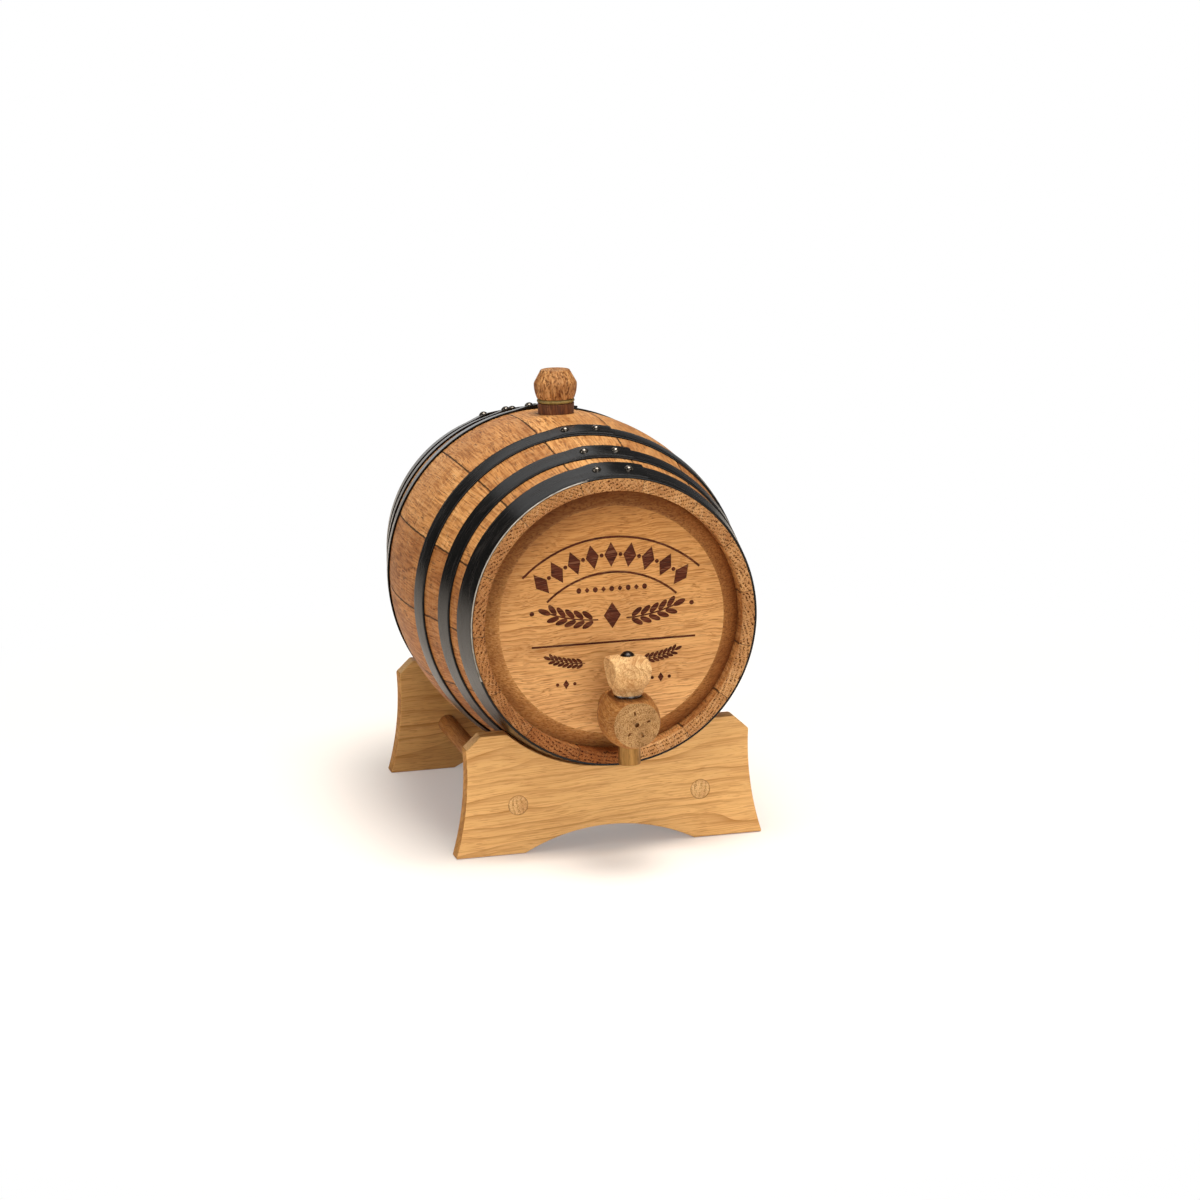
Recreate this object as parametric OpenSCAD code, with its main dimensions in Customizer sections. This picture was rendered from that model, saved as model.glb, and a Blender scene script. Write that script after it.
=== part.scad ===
// Small oak cask for serving spirits, lying on a two-board cradle stand.
// The cask's axis runs along Y and its tap end faces -Y. The origin lies on
// the table, under the middle of the whole object.

/* [Cask] */
// Length of the staves, rim to rim
cask_l = 200; // [180:1:240]
// Diameter of the wood at the bilge, the widest part
bilge_d = 159; // [150:0.5:170]
// Diameter of the wood at the rims
rim_d = 130; // [124:0.5:136]
// Length of the curved middle, between the straight chimes
bilge_l = 90; // [60:1:120]
// Thickness of a stave
stave_t = 8; // [6:0.5:10]
// Clear gap in each stave joint
joint_gap = 0.15; // [0.05:0.05:0.3]

/* [Heads] */
// Depth of a head's flat panel below the rim
head_recess = 5.5; // [4:0.5:9]
// Thickness of a head
head_t = 8; // [6:0.5:10]
// Diameter of the head's flat panel, inside the bevel
panel_d = 105; // [90:1:108]
// Drop of the bevel from the panel to the head's tongue
bevel_drop = 3.5; // [2:0.25:4]
// Thickness of the tongue that sits in the croze groove
tongue_t = 3.5; // [2.5:0.25:4]
// Depth of the croze groove in the staves
croze_depth = 1.5; // [1:0.25:2]
// Clearance of a head's tongue in the croze groove
croze_fit = 0.05; // [0.02:0.01:0.15]
// Width of the chamfer round the inside of a rim
chime_chamfer = 0.8; // [0.3:0.1:1.5]

/* [Hoops] */
// Thickness of the hoop iron
hoop_t = 1; // [0.6:0.1:1.5]
// Width of the end hoops
end_hoop_w = 16; // [12:0.5:18]
// Width of the quarter hoops
quarter_hoop_w = 12; // [8:0.5:14]
// Width of the bilge hoops
bilge_hoop_w = 11; // [8:0.5:14]
// Distance of the end hoops from the rim
end_hoop_in = 0.5; // [0.2:0.1:2]
// Distance of the bilge hoops' inner edge from the middle of the cask
bilge_hoop_y = 32.5; // [24:0.5:38]
// Gap between a hoop and the staves under it
hoop_fit = 0.05; // [0.02:0.01:0.1]
// Length of the lap where a hoop's two ends are riveted
lap_l = 30; // [24:1:40]
// Distance between a lap's two rivets
rivet_pitch = 14.5; // [10:0.5:18]
// Diameter of a rivet's domed head
rivet_d = 4.2; // [3:0.1:5]
// Height of a rivet's domed head
rivet_h = 1.3; // [0.8:0.1:2]

/* [Bung] */
// Position of the bung hole along the cask, behind its middle
bung_y = 5; // [-15:1:15]
// Height of the bung above the bilge
bung_h = 20.5; // [16:0.5:26]
// Diameter of the bung's plug where it leaves the seal ring
bung_d = 17.4; // [14:0.2:20]
// Diameter of the bung's bulb
bung_bulb_d = 20.4; // [18:0.2:24]
// Diameter of the flat top of the bulb
bung_top_d = 13.6; // [10:0.2:16]
// Height of the bare plug above the bilge, under the seal ring
bung_plug_h = 5.2; // [3:0.2:8]
// Height of the seal ring
ring_h = 1.8; // [1:0.2:3]
// Depth of the plug below the bilge
bung_depth = 9.5; // [8:0.5:14]
// Side clearance of the plug in its hole
bung_fit = 0.08; // [0.02:0.01:0.1]

/* [Tap] */
// Distance of the tap's axis below the cask's axis
tap_drop = 39; // [30:0.5:42]
// Reach of the tap's face from the head's panel
tap_reach = 40; // [34:0.5:60]
// Diameter of the tap's face
tap_face_d = 20.8; // [16:0.2:24]
// Diameter of the tap's barrel at its widest
tap_d = 26.6; // [24:0.2:30]
// Length of the tap's round barrel, face to neck
tap_barrel_l = 29; // [26:0.5:32]
// Diameter of the tap's shank where it enters the head
shank_d = 15; // [13:0.2:18]
// Taper of the shank, loss of diameter per millimetre of length
shank_taper = 0.06; // [0.03:0.01:0.1]
// Length of the shank behind the head's outer face
shank_in = 19; // [14:0.5:26]
// Bore of the tap
tap_bore = 5; // [4:0.5:6]
// Height of the flat seat on the tap, above its axis
seat_h = 9.8; // [9:0.1:11]
// Diameter of the centre hole in the tap's face
centre_hole_d = 1.8; // [1:0.1:3]

/* [Tap key] */
// Outer diameter of the key's brass spout stem
stem_d = 10; // [8:0.2:11]
// Bore of the stem
stem_bore = 7; // [5:0.2:7.5]
// Length of the stem below the tap's axis
stem_drop = 21; // [18:0.5:30]
// Radial clearance of the turning stem in its cork sleeve
stem_fit = 0.05; // [0.02:0.01:0.1]
// Wall of the cork sleeve in the tap
cork_t = 1.2; // [0.8:0.1:1.6]
// Width of the flattened key handle
key_w = 16.4; // [12:0.2:20]
// Diameter of the key's turned knob, its depth along the tap
key_d = 25; // [20:0.5:28]
// Diameter of the key's foot
key_foot_d = 13.6; // [11:0.2:16]
// Height of the key handle
key_h = 17.4; // [14:0.2:24]
// Thickness of the washer under the key
washer_t = 1.2; // [0.8:0.1:2]
// Outer diameter of the washer
washer_d = 12.4; // [11.6:0.2:14]
// Diameter of the key screw's head
screw_d = 6.4; // [5:0.2:8]
// Height of the screw head
screw_h = 1.8; // [1:0.1:3]
// Width of the square tang on the stem
tang_w = 6; // [5:0.2:7]
// Height of the square tang on the stem
tang_h = 8; // [6:0.5:10]

/* [Stand] */
// Height of the cradle's lowest point above the table
cradle_floor = 38.3; // [30:0.5:60]
// Clearance between the cask and its cradle
cradle_fit = 0.3; // [0.2:0.05:1]
// Thickness of a cradle board
board_t = 9; // [6:0.5:9.5]
// Height of a cradle board
board_h = 56.5; // [50:0.5:70]
// Width across the feet
foot_w = 145; // [130:1:160]
// Width across the waist, the narrowest part
waist_w = 132.6; // [120:0.5:136]
// Height of the waist
waist_h = 41; // [30:1:46]
// Width of a corner chamfer
corner_w = 7; // [4:0.5:10]
// Height of a corner chamfer
corner_h = 6.5; // [4:0.5:10]
// Width of the arch between the feet
arch_w = 80; // [60:1:100]
// Height of the arch
arch_h = 10; // [6:0.5:14]
// Diameter of the two dowels that join the boards
dowel_d = 9; // [6:0.5:12]
// Distance between the dowels' axes
dowel_spacing = 86; // [70:1:100]
// Height of the dowels' axes
dowel_h = 23; // [18:0.5:28]
// Clearance of a dowel in its holes
dowel_fit = 0.05; // [0.02:0.01:0.1]

/* [Hidden] */
// relative widths of the staves, to the right from the one that holds the bung
STAVE_WIDTHS = [26, 24, 22, 22, 23, 23, 22, 24, 24, 24, 22, 25, 25, 27, 27];
STAVES = len(STAVE_WIDTHS);
// sideways place of each hoop's rivet pair, front end to rear end
LAP_SHIFTS = [2.2, 2.5, 1, 2, -3, -9];
NODES = [
    "stave_01", "stave_02", "stave_03", "stave_04", "stave_05",
    "stave_06", "stave_07", "stave_08", "stave_09", "stave_10",
    "stave_11", "stave_12", "stave_13", "stave_14", "stave_15",
    "front_head", "rear_head",
    "hoop_front_end", "hoop_front_quarter", "hoop_front_bilge",
    "hoop_rear_bilge", "hoop_rear_quarter", "hoop_rear_end", "hoop_rivets",
    "bung", "bung_ring",
    "tap_body", "tap_cork", "key_stem", "key_washer", "key_handle", "key_screw",
    "stand_front_board", "stand_rear_board", "stand_left_dowel", "stand_right_dowel"
];
$fn = 96;
FINE = 720;    // sides of the large arcs
EPS = 0.01;    // overshoot of a cut
hoop_overrun = 20;    // how far the wood's outline runs on past the rims

half_l = cask_l / 2;
bilge_r = bilge_d / 2;
rim_r = rim_d / 2;
arc_half = bilge_l / 2;
// slope of the straight chimes, which run on from the bilge's arc
chime_slope = (bilge_r - rim_r) / (half_l - arc_half / 2);
bilge_arc_r = arc_half / sin(atan(chime_slope));

// radius of the wood at a distance from the middle
function wood_r(y) = abs(y) < arc_half
    ? bilge_r - bilge_arc_r + sqrt(pow(bilge_arc_r, 2) - pow(y, 2))
    : wood_r(arc_half - EPS) - chime_slope * (abs(y) - arc_half);

// heads and croze
panel_y = half_l - head_recess;
tongue_y = panel_y - bevel_drop;
croze_mid_y = tongue_y - tongue_t / 2;
chime_r = wood_r(croze_mid_y) - stave_t + 0.5;
croze_r = chime_r + croze_depth;

// hoops, as the distance of each band's middle from the middle of the cask
end_hoop_mid = half_l - end_hoop_in - end_hoop_w / 2;
stand_gap = 0.5;    // gap between a board and the hoops beside it
board_out = end_hoop_mid - end_hoop_w / 2 - stand_gap;
board_in = board_out - board_t;
quarter_hoop_mid = board_in - stand_gap - quarter_hoop_w / 2;
bilge_hoop_mid = bilge_hoop_y + bilge_hoop_w / 2;
// each hoop's middle and width, front end to rear end
HOOP_MIDS = [-end_hoop_mid, -quarter_hoop_mid, -bilge_hoop_mid,
             bilge_hoop_mid, quarter_hoop_mid, end_hoop_mid];
HOOP_WIDTHS = [end_hoop_w, quarter_hoop_w, bilge_hoop_w,
               bilge_hoop_w, quarter_hoop_w, end_hoop_w];
HOOP_NAMES = ["hoop_front_end", "hoop_front_quarter", "hoop_front_bilge",
              "hoop_rear_bilge", "hoop_rear_quarter", "hoop_rear_end"];
lap_top = hoop_fit + 2 * hoop_t;    // outside of a hoop's lap, above the wood
lap_inset = 0.1;    // inset of a lap's edges
lap_step = 0.1;     // height of a lap's feathered end
bend_turn = 3.6;    // slope that the lap's bend starts with, in degrees
rivet_shank_d = rivet_d / 2;
rivet_fit = 0.05;

// stand
cradle_r = wood_r(board_in) + cradle_fit;
axis_h = cradle_floor + cradle_r;
waist_drop = (foot_w - waist_w) / 2;
waist_r = (pow(waist_h, 2) + pow(waist_drop, 2)) / (2 * waist_drop);
arch_r = (pow(arch_w / 2, 2) + pow(arch_h, 2)) / (2 * arch_h);

// bung, as heights above the cask's axis
bung_z = wood_r(bung_y);
bung_neck = bung_z + bung_plug_h;
bung_bulb_z = bung_neck + ring_h;
bung_top = bung_z + bung_h;
bung_foot = bung_z - bung_depth;
bung_widest = bung_bulb_z + (bung_top - bung_bulb_z) * 0.52;
bung_neck_d = bung_d - 2.4;
ring_fit = 0.15;         // gap between the seal ring and the bung's neck
ring_side_fit = 0.05;    // gap above and below the seal ring
ring_proud = 0.3;        // how far the seal ring stands out of its groove
plug_taper = 0.05;    // loss of radius per millimetre of depth
function plug_r(z) = bung_d / 2 - plug_taper * (bung_neck - z);

// tap, as distances along the cask and heights above the table
tap_z = axis_h - tap_drop;
tap_face_y = -panel_y - tap_reach;
tap_mid_y = tap_face_y + tap_barrel_l / 2;
key_y = tap_mid_y;
barrel_drop = (tap_d - tap_face_d) / 2;
barrel_arc_r = (pow(tap_barrel_l / 2, 2) + pow(barrel_drop, 2)) / (2 * barrel_drop);
shank_end_y = -panel_y + shank_in;
collar_l = 3;    // straight part of the shank in front of the head
neck_l = 4;      // length of the cone from the barrel to the shank
centre_hole_h = 3;
// marks that the lathe's spur centre leaves in the tap's face
SPUR_TURNS = [-14, -100, 132, 64];
spur_r = 5.4;
spur_l = 1.7;
spur_w = 0.9;
spur_h = 1;
function shank_r(y) = (shank_d - shank_taper * (y + panel_y)) / 2;
seat_z = tap_z + seat_h;
washer_gap = 0.05;
key_z = seat_z + washer_t + 2 * washer_gap;
key_top = key_z + key_h;
stem_bottom = tap_z - stem_drop;
sleeve_r = stem_d / 2 + stem_fit;
sleeve_hole_r = sleeve_r + cork_t;
bore_top = tap_z + tap_bore / 2 + 1;
screw_shank_d = 3;
screw_fit = 0.05;
tang_fit = 0.05;

// the whole object's middle goes over the origin
front_reach = -tap_face_y;
centre_y = (front_reach - half_l) / 2;

// turns a child from a vertical axis to the cask's lying axis
module lie() {
    translate([0, centre_y, axis_h]) rotate([-90, 0, 0]) children();
}

// the area inside the outside of the wood, grown by a thickness
module wood_area(grow = 0) {
    lean = atan(chime_slope);
    turn_r = wood_r(arc_half) + grow * cos(lean);
    turn_y = arc_half + grow * sin(lean);
    end_y = half_l + hoop_overrun;
    tip_r = turn_r - chime_slope * (end_y - turn_y);
    polygon([[0, -end_y], [tip_r, -end_y], [turn_r, -turn_y],
             [turn_r, turn_y], [tip_r, end_y], [0, end_y]]);
    intersection() {
        translate([bilge_r - bilge_arc_r, 0]) circle(r = bilge_arc_r + grow, $fn = FINE);
        translate([0, -turn_y]) square([bilge_d, 2 * turn_y]);
    }
}

// the cut through a stave wall
module stave_section() {
    difference() {
        intersection() {
            wood_area();
            translate([0, -half_l]) square([bilge_d, cask_l]);
        }
        intersection() {
            wood_area(-stave_t);
            translate([0, -tongue_y]) square([bilge_d, 2 * tongue_y]);
        }
        for (side = [-1, 1]) scale([1, side]) {
            translate([0, tongue_y - tongue_t]) square([chime_r, half_l]);
            translate([0, tongue_y - tongue_t]) square([croze_r, tongue_t]);
            translate([0, half_l])
                polygon([[0, EPS], [chime_r + chime_chamfer + EPS, EPS],
                         [chime_r - EPS, -chime_chamfer - EPS], [0, -chime_chamfer - EPS]]);
        }
    }
}

// a stave's first joint, in degrees to the right of the top
function total(list, i = 0) = i >= len(list) ? 0 : list[i] + total(list, i + 1);
function joints_before(i) = i <= 0 ? 0 : STAVE_WIDTHS[i - 1] + joints_before(i - 1);
function stave_turn(i) = 360 * STAVE_WIDTHS[i] / total(STAVE_WIDTHS);
function stave_start(i) =
    360 * (joints_before(i) - STAVE_WIDTHS[0] / 2) / total(STAVE_WIDTHS);
function stave_name(i) = NODES[i];

module bung_hole() {
    translate([0, centre_y + bung_y, axis_h])
        cylinder(h = bung_top, r1 = plug_r(0) + bung_fit, r2 = plug_r(bung_top) + bung_fit);
}

module stave(i) {
    tones = ["#b07a45", "#a46d3a", "#b98550", "#a8723f"];
    gap_turn = joint_gap / rim_r * 180 / PI;
    color(tones[i % len(tones)])
    difference() {
        lie() rotate([0, 0, stave_start(i) - 90 + gap_turn / 2])
            rotate_extrude(angle = stave_turn(i) - gap_turn) stave_section();
        if (i == 0) bung_hole();
    }
}

// half of a head's section: the panel, its bevels and the tongue
module head_section() {
    inner_y = panel_y - head_t;
    tongue_r = croze_r - croze_fit;
    tongue_front = tongue_y - croze_fit;
    tongue_back = tongue_y - tongue_t + croze_fit;
    tongue_root = chime_r - croze_fit;
    polygon([[0, inner_y], [panel_d / 2, inner_y], [tongue_root, tongue_back],
             [tongue_r, tongue_back], [tongue_r, tongue_front], [tongue_root, tongue_front],
             [panel_d / 2, panel_y], [0, panel_y]]);
}

module front_head() {
    color("#c4915a")
    difference() {
        lie() scale([1, 1, -1]) rotate_extrude() head_section();
        shank_hole();
    }
}

module rear_head() {
    color("#c4915a") lie() rotate_extrude() head_section();
}

// a hoop band's cut between two radii above the wood
module band_section(mid, width, low, high) {
    intersection() {
        difference() {
            wood_area(high);
            wood_area(low);
        }
        translate([0, mid - width / 2]) square([bilge_d, width]);
    }
}

// the angle of a length along a hoop, and the middle of its lap from the top
function arc_turn(length, i) = length / wood_r(HOOP_MIDS[i]) * 180 / PI;
function lap_turn(i) = arc_turn(LAP_SHIFTS[i], i);

// places a child on the wood under a hoop, square to its slope and to the right of its lap
module on_hoop(i, right) {
    mid = HOOP_MIDS[i];
    lean = abs(mid) < arc_half ? asin(mid / bilge_arc_r) : sign(mid) * atan(chime_slope);
    lie() rotate([0, 0, lap_turn(i) + arc_turn(right, i) - 90])
        translate([wood_r(mid), 0, mid]) rotate([0, 90 - lean, 0]) children();
}

module at_rivets(i) {
    for (side = [-1, 1]) on_hoop(i, side * rivet_pitch / 2) children();
}

// a band whose outer end lies over the inner one and is bent down behind it
module hoop(i) {
    width = HOOP_WIDTHS[i];
    top = hoop_fit + hoop_t;
    color("#26241f")
    difference() {
        union() {
            lie() rotate_extrude() band_section(HOOP_MIDS[i], width, hoop_fit, top);
            lie() rotate([0, 0, lap_turn(i) - arc_turn(lap_l / 2, i) - 90])
                rotate_extrude(angle = arc_turn(lap_l, i))
                    band_section(HOOP_MIDS[i], width - 2 * lap_inset, top - hoop_t / 2, lap_top);
        }
        on_hoop(i, -lap_l / 2) translate([-width, -1, top + lap_step]) rotate([bend_turn, 0, 0])
            cube([2 * width, lap_l / 2, 2 * hoop_t]);
        at_rivets(i) cylinder(h = 6 * hoop_t, d = rivet_shank_d + 2 * rivet_fit, center = true);
    }
}

module rivet() {
    dome_r = (pow(rivet_d / 2, 2) + pow(rivet_h, 2)) / (2 * rivet_h);
    dome_z = lap_top + rivet_fit;
    translate([0, 0, 2 * hoop_fit]) cylinder(h = dome_z + EPS - 2 * hoop_fit, d = rivet_shank_d);
    translate([0, 0, dome_z])
    intersection() {
        translate([0, 0, rivet_h - dome_r]) sphere(r = dome_r);
        cylinder(h = rivet_h + EPS, d = rivet_d + EPS);
    }
}

module hoop_rivets() {
    color("#3a3733") for (i = [0:len(HOOP_MIDS) - 1]) at_rivets(i) rivet();
}

// turned stopper: tapered plug, seal groove and bulb
module bung() {
    bulb_r = bung_bulb_d / 2;
    rise = bung_top - bung_widest;
    top_drop = bulb_r - bung_top_d / 2;
    top_arc = (pow(rise, 2) + pow(top_drop, 2)) / (2 * top_drop);
    fall = bung_widest - bung_bulb_z;
    low_drop = bulb_r - bung_d / 2;
    low_arc = (pow(fall, 2) + pow(low_drop, 2)) / (2 * low_drop);
    color("#a06a3c")
    translate([0, centre_y + bung_y, axis_h]) rotate_extrude() {
        polygon([[0, bung_foot], [plug_r(bung_foot), bung_foot], [plug_r(bung_neck), bung_neck],
                 [bung_neck_d / 2, bung_neck], [bung_neck_d / 2, bung_bulb_z + EPS],
                 [0, bung_bulb_z + EPS]]);
        intersection() {
            translate([bulb_r - top_arc, bung_widest]) circle(r = top_arc, $fn = FINE);
            translate([0, bung_widest]) square([bulb_r, rise]);
        }
        intersection() {
            translate([bulb_r - low_arc, bung_widest]) circle(r = low_arc, $fn = FINE);
            translate([0, bung_bulb_z]) square([bulb_r, fall]);
        }
    }
}

module bung_ring() {
    ring_in = bung_neck_d / 2 + ring_fit;
    ring_out = bung_d / 2 + ring_proud;
    round_r = ring_h / 2 - ring_side_fit;
    round_mid = ring_out - round_r;
    color("#9c8a48")
    translate([0, centre_y + bung_y, axis_h + bung_neck + ring_h / 2]) rotate_extrude() {
        intersection() {
            translate([round_mid, 0]) circle(r = round_r, $fn = 48);
            translate([round_mid - EPS, -round_r]) square([round_r + EPS, 2 * round_r]);
        }
        translate([ring_in, -round_r]) square([round_mid - ring_in, 2 * round_r]);
    }
}

// the tapered hole that the tap is driven into
module shank_hole() {
    lie() translate([0, tap_drop, -half_l])
        cylinder(h = half_l, r1 = shank_r(-half_l), r2 = shank_r(0));
}

// the tap's turned outside, along its own axis
module tap_turning() {
    neck_y = tap_face_y + tap_barrel_l;
    collar_y = -panel_y - collar_l;
    lie() translate([0, tap_drop, 0]) rotate_extrude() {
        intersection() {
            translate([tap_d / 2 - barrel_arc_r, tap_mid_y]) circle(r = barrel_arc_r, $fn = FINE);
            translate([0, tap_face_y]) square([tap_d, tap_barrel_l]);
        }
        polygon([[0, neck_y - 1], [tap_face_d / 2 - 1, neck_y - 1], [tap_face_d / 2 - 1, neck_y + 1.5],
                 [shank_r(collar_y), neck_y + neck_l], [shank_r(collar_y), collar_y],
                 [shank_r(shank_end_y), shank_end_y], [0, shank_end_y]]);
    }
}

module tap_body() {
    color("#b98450")
    difference() {
        tap_turning();
        translate([-tap_d, centre_y + tap_face_y - EPS, seat_z])
            cube([2 * tap_d, tap_barrel_l + 2 * EPS, tap_d]);
        translate([0, centre_y + key_y, tap_z - tap_d]) cylinder(h = 2 * tap_d, r = sleeve_hole_r);
        lie() translate([0, tap_drop, key_y])
            cylinder(h = shank_end_y - key_y + EPS, d = tap_bore);
        lie() translate([0, tap_drop, tap_face_y - EPS]) {
            cylinder(h = centre_hole_h, d = centre_hole_d);
            for (turn = SPUR_TURNS) rotate([0, 0, turn])
                translate([spur_r - spur_l / 2, -spur_w / 2, 0]) cube([spur_l, spur_w, spur_h]);
        }
    }
}

// cork lining that the key's stem turns in
module tap_cork() {
    bottom = tap_z - sqrt(pow(tap_d / 2, 2) - pow(sleeve_hole_r, 2)) + 0.5;
    color("#b98d5d")
    difference() {
        translate([0, centre_y + key_y, bottom])
            cylinder(h = seat_z - washer_gap - bottom, r = sleeve_hole_r - 0.02);
        translate([0, centre_y + key_y, bottom - EPS])
            cylinder(h = seat_z - bottom + 2 * EPS, r = sleeve_r);
        lie() translate([0, tap_drop, key_y])
            cylinder(h = sleeve_hole_r + 1, d = tap_bore);
    }
}

module key_stem() {
    color("#a0712f")
    difference() {
        translate([0, centre_y + key_y, stem_bottom]) {
            cylinder(h = key_z - washer_gap - stem_bottom, d = stem_d);
            translate([-tang_w / 2, -tang_w / 2, 0])
                cube([tang_w, tang_w, key_z + tang_h - stem_bottom]);
        }
        translate([0, centre_y + key_y, stem_bottom - EPS])
            cylinder(h = bore_top - stem_bottom + EPS, d = stem_bore);
        translate([0, centre_y + key_y, tap_z]) rotate([0, 90, 0])
            cylinder(h = stem_d, d = tap_bore);
        translate([0, centre_y + key_y, bore_top + 3])
            cylinder(h = key_h, d = screw_shank_d + 2 * screw_fit);
    }
}

module key_washer() {
    color("#8d8f92")
    translate([0, centre_y + key_y, seat_z + washer_gap])
    difference() {
        cylinder(h = washer_t, d = washer_d);
        translate([0, 0, -EPS]) cylinder(h = washer_t + 2 * EPS, d = stem_d + 0.2);
    }
}

// turned knob, sawn flat on both sides
module key_handle() {
    knob_r = key_d / 2;
    shoulder_z = key_h * 0.62;
    top_r = knob_r - 2.5;
    color("#bf8c57")
    translate([0, centre_y + key_y, key_z])
    difference() {
        intersection() {
            rotate_extrude() polygon([[0, 0], [key_foot_d / 2, 0], [key_foot_d / 2 + 0.5, 3],
                [knob_r - 0.5, shoulder_z], [knob_r, shoulder_z + 2], [knob_r, key_h - 3],
                [top_r, key_h], [0, key_h]]);
            translate([-key_w / 2, -key_d, 0]) cube([key_w, 2 * key_d, key_h]);
        }
        translate([-tang_w / 2 - tang_fit, -tang_w / 2 - tang_fit, -EPS])
            cube([tang_w + 2 * tang_fit, tang_w + 2 * tang_fit, tang_h + tang_fit + EPS]);
        cylinder(h = key_h + 1, d = screw_shank_d + 0.6);
    }
}

module key_screw() {
    dome_r = (pow(screw_d / 2, 2) + pow(screw_h, 2)) / (2 * screw_h);
    color("#2f2d2b")
    translate([0, centre_y + key_y, key_top])
    difference() {
        union() {
            intersection() {
                translate([0, 0, screw_h - dome_r]) sphere(r = dome_r);
                cylinder(h = screw_h + EPS, d = screw_d + EPS);
            }
            translate([0, 0, -key_h + 2]) cylinder(h = key_h - 2 + EPS, d = screw_shank_d);
        }
        translate([-screw_d, -0.5, screw_h - 0.6]) cube([2 * screw_d, 1, 1]);
    }
}

// outline of a cradle board, seen from the front
module board_outline() {
    top_w = waist_w + 2 * (waist_r - sqrt(pow(waist_r, 2) - pow(board_h - corner_h - waist_h, 2)));
    difference() {
        polygon([[-foot_w / 2, 0], [foot_w / 2, 0], [foot_w / 2, board_h - corner_h],
                 [top_w / 2, board_h - corner_h], [top_w / 2 - corner_w, board_h],
                 [-top_w / 2 + corner_w, board_h], [-top_w / 2, board_h - corner_h],
                 [-foot_w / 2, board_h - corner_h]]);
        for (side = [-1, 1])
            translate([side * (waist_w / 2 + waist_r), waist_h]) circle(r = waist_r, $fn = FINE);
        translate([0, arch_h - arch_r]) circle(r = arch_r, $fn = FINE);
        translate([0, axis_h]) circle(r = cradle_r, $fn = FINE);
    }
}

module board(front_y) {
    color("#c99a5c")
    difference() {
        translate([0, centre_y + front_y + board_t, 0]) rotate([90, 0, 0])
            linear_extrude(height = board_t) board_outline();
        for (side = [-1, 1]) translate([side * dowel_spacing / 2, centre_y, dowel_h])
            rotate([90, 0, 0]) cylinder(h = 2 * cask_l, d = dowel_d + 2 * dowel_fit, center = true);
    }
}

module dowel(side) {
    color("#93602f")
    translate([side * dowel_spacing / 2, centre_y + board_out, dowel_h])
        rotate([90, 0, 0]) cylinder(h = 2 * board_out, d = dowel_d);
}

for (i = [0:STAVES - 1]) stave(i);
front_head();
rear_head();
for (i = [0:len(HOOP_NAMES) - 1]) hoop(i);
hoop_rivets();
bung();
bung_ring();
tap_body();
tap_cork();
key_stem();
key_washer();
key_handle();
key_screw();
board(-board_out);  // stand_front_board
board(board_in);  // stand_rear_board
dowel(-1);  // stand_left_dowel
dowel(1);  // stand_right_dowel
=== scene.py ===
"""Dresses a small oak cask on its cradle stand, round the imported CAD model.

Lengths in this file are millimetres, and meshes turn to metres as they are made.
Places along the cask count from its middle and heights from its axis, unless a
comment says that they are the row frame's.
"""

import logging
import math
from collections.abc import Callable
from dataclasses import dataclass, field
from enum import Enum
from functools import partial

import bmesh
import bpy
from mathutils import Matrix, Vector, noise


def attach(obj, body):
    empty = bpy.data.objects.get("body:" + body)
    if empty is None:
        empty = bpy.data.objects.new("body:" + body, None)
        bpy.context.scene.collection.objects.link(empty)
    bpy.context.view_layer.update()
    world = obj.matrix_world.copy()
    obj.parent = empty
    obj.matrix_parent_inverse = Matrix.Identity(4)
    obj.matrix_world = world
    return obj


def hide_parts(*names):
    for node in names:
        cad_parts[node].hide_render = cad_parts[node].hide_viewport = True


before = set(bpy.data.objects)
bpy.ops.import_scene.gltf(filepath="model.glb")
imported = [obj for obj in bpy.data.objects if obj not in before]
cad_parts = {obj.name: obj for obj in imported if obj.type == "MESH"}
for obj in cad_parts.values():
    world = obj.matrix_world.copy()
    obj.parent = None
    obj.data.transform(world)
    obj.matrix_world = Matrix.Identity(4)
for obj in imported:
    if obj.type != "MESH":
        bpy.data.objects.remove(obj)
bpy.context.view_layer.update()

log = logging.getLogger("cask")

MM = 0.001
AXIS_H = 108.503  # the cask's axis above the table
CENTRE_Y = 17.25  # the cask's middle behind the origin
ALONG, ACROSS = Vector((0, 1, 0)), Vector((1, 0, 0))

Point = tuple[float, float]  # of a profile or an outline
Shape = bmesh.types.BMesh
Material = bpy.types.Material
Socket = bpy.types.NodeSocket


# ---------------------------------------------------------------- shape helpers


def arc(centre: Point, radius: float, start: float, end: float, steps: int) -> list[Point]:
    """Gives points on an arc.

    Args:
        centre: the arc's centre.
        radius: its radius.
        start: the first point's angle in degrees.
        end: the last point's angle.
        steps: how many chords it has.

    Returns:
        The points, first to last.
    """
    turns = [math.radians(start + (end - start) * i / steps) for i in range(steps + 1)]
    return [(centre[0] + radius * math.cos(t), centre[1] + radius * math.sin(t)) for t in turns]


def between(a: Point, b: Point, sag: float, steps: int) -> list[Point]:
    """Gives points on a shallow arc from one point to another.

    Args:
        a: the first point.
        b: the last point.
        sag: how far the middle bulges to the right of the way from a to b.
        steps: how many chords it has.

    Returns:
        The points, with both ends.
    """
    start, way = Vector(a), Vector(b) - Vector(a)
    side = Vector((way.y, -way.x)).normalized()
    shares = [i / steps for i in range(steps + 1)]
    return [tuple(start + way * t + side * sag * 4 * t * (1 - t)) for t in shares]


def dome(radius: float, height: float, steps: int) -> list[Point]:
    """Gives a dome's profile.

    Args:
        radius: the radius of its foot.
        height: its height above the foot.
        steps: how many chords it has.

    Returns:
        The points from the foot to the top.
    """
    ball = (radius**2 + height**2) / (2 * height)
    foot = math.degrees(math.asin(1 - height / ball))
    return arc((0, height - ball), ball, foot, 90, steps)


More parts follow.
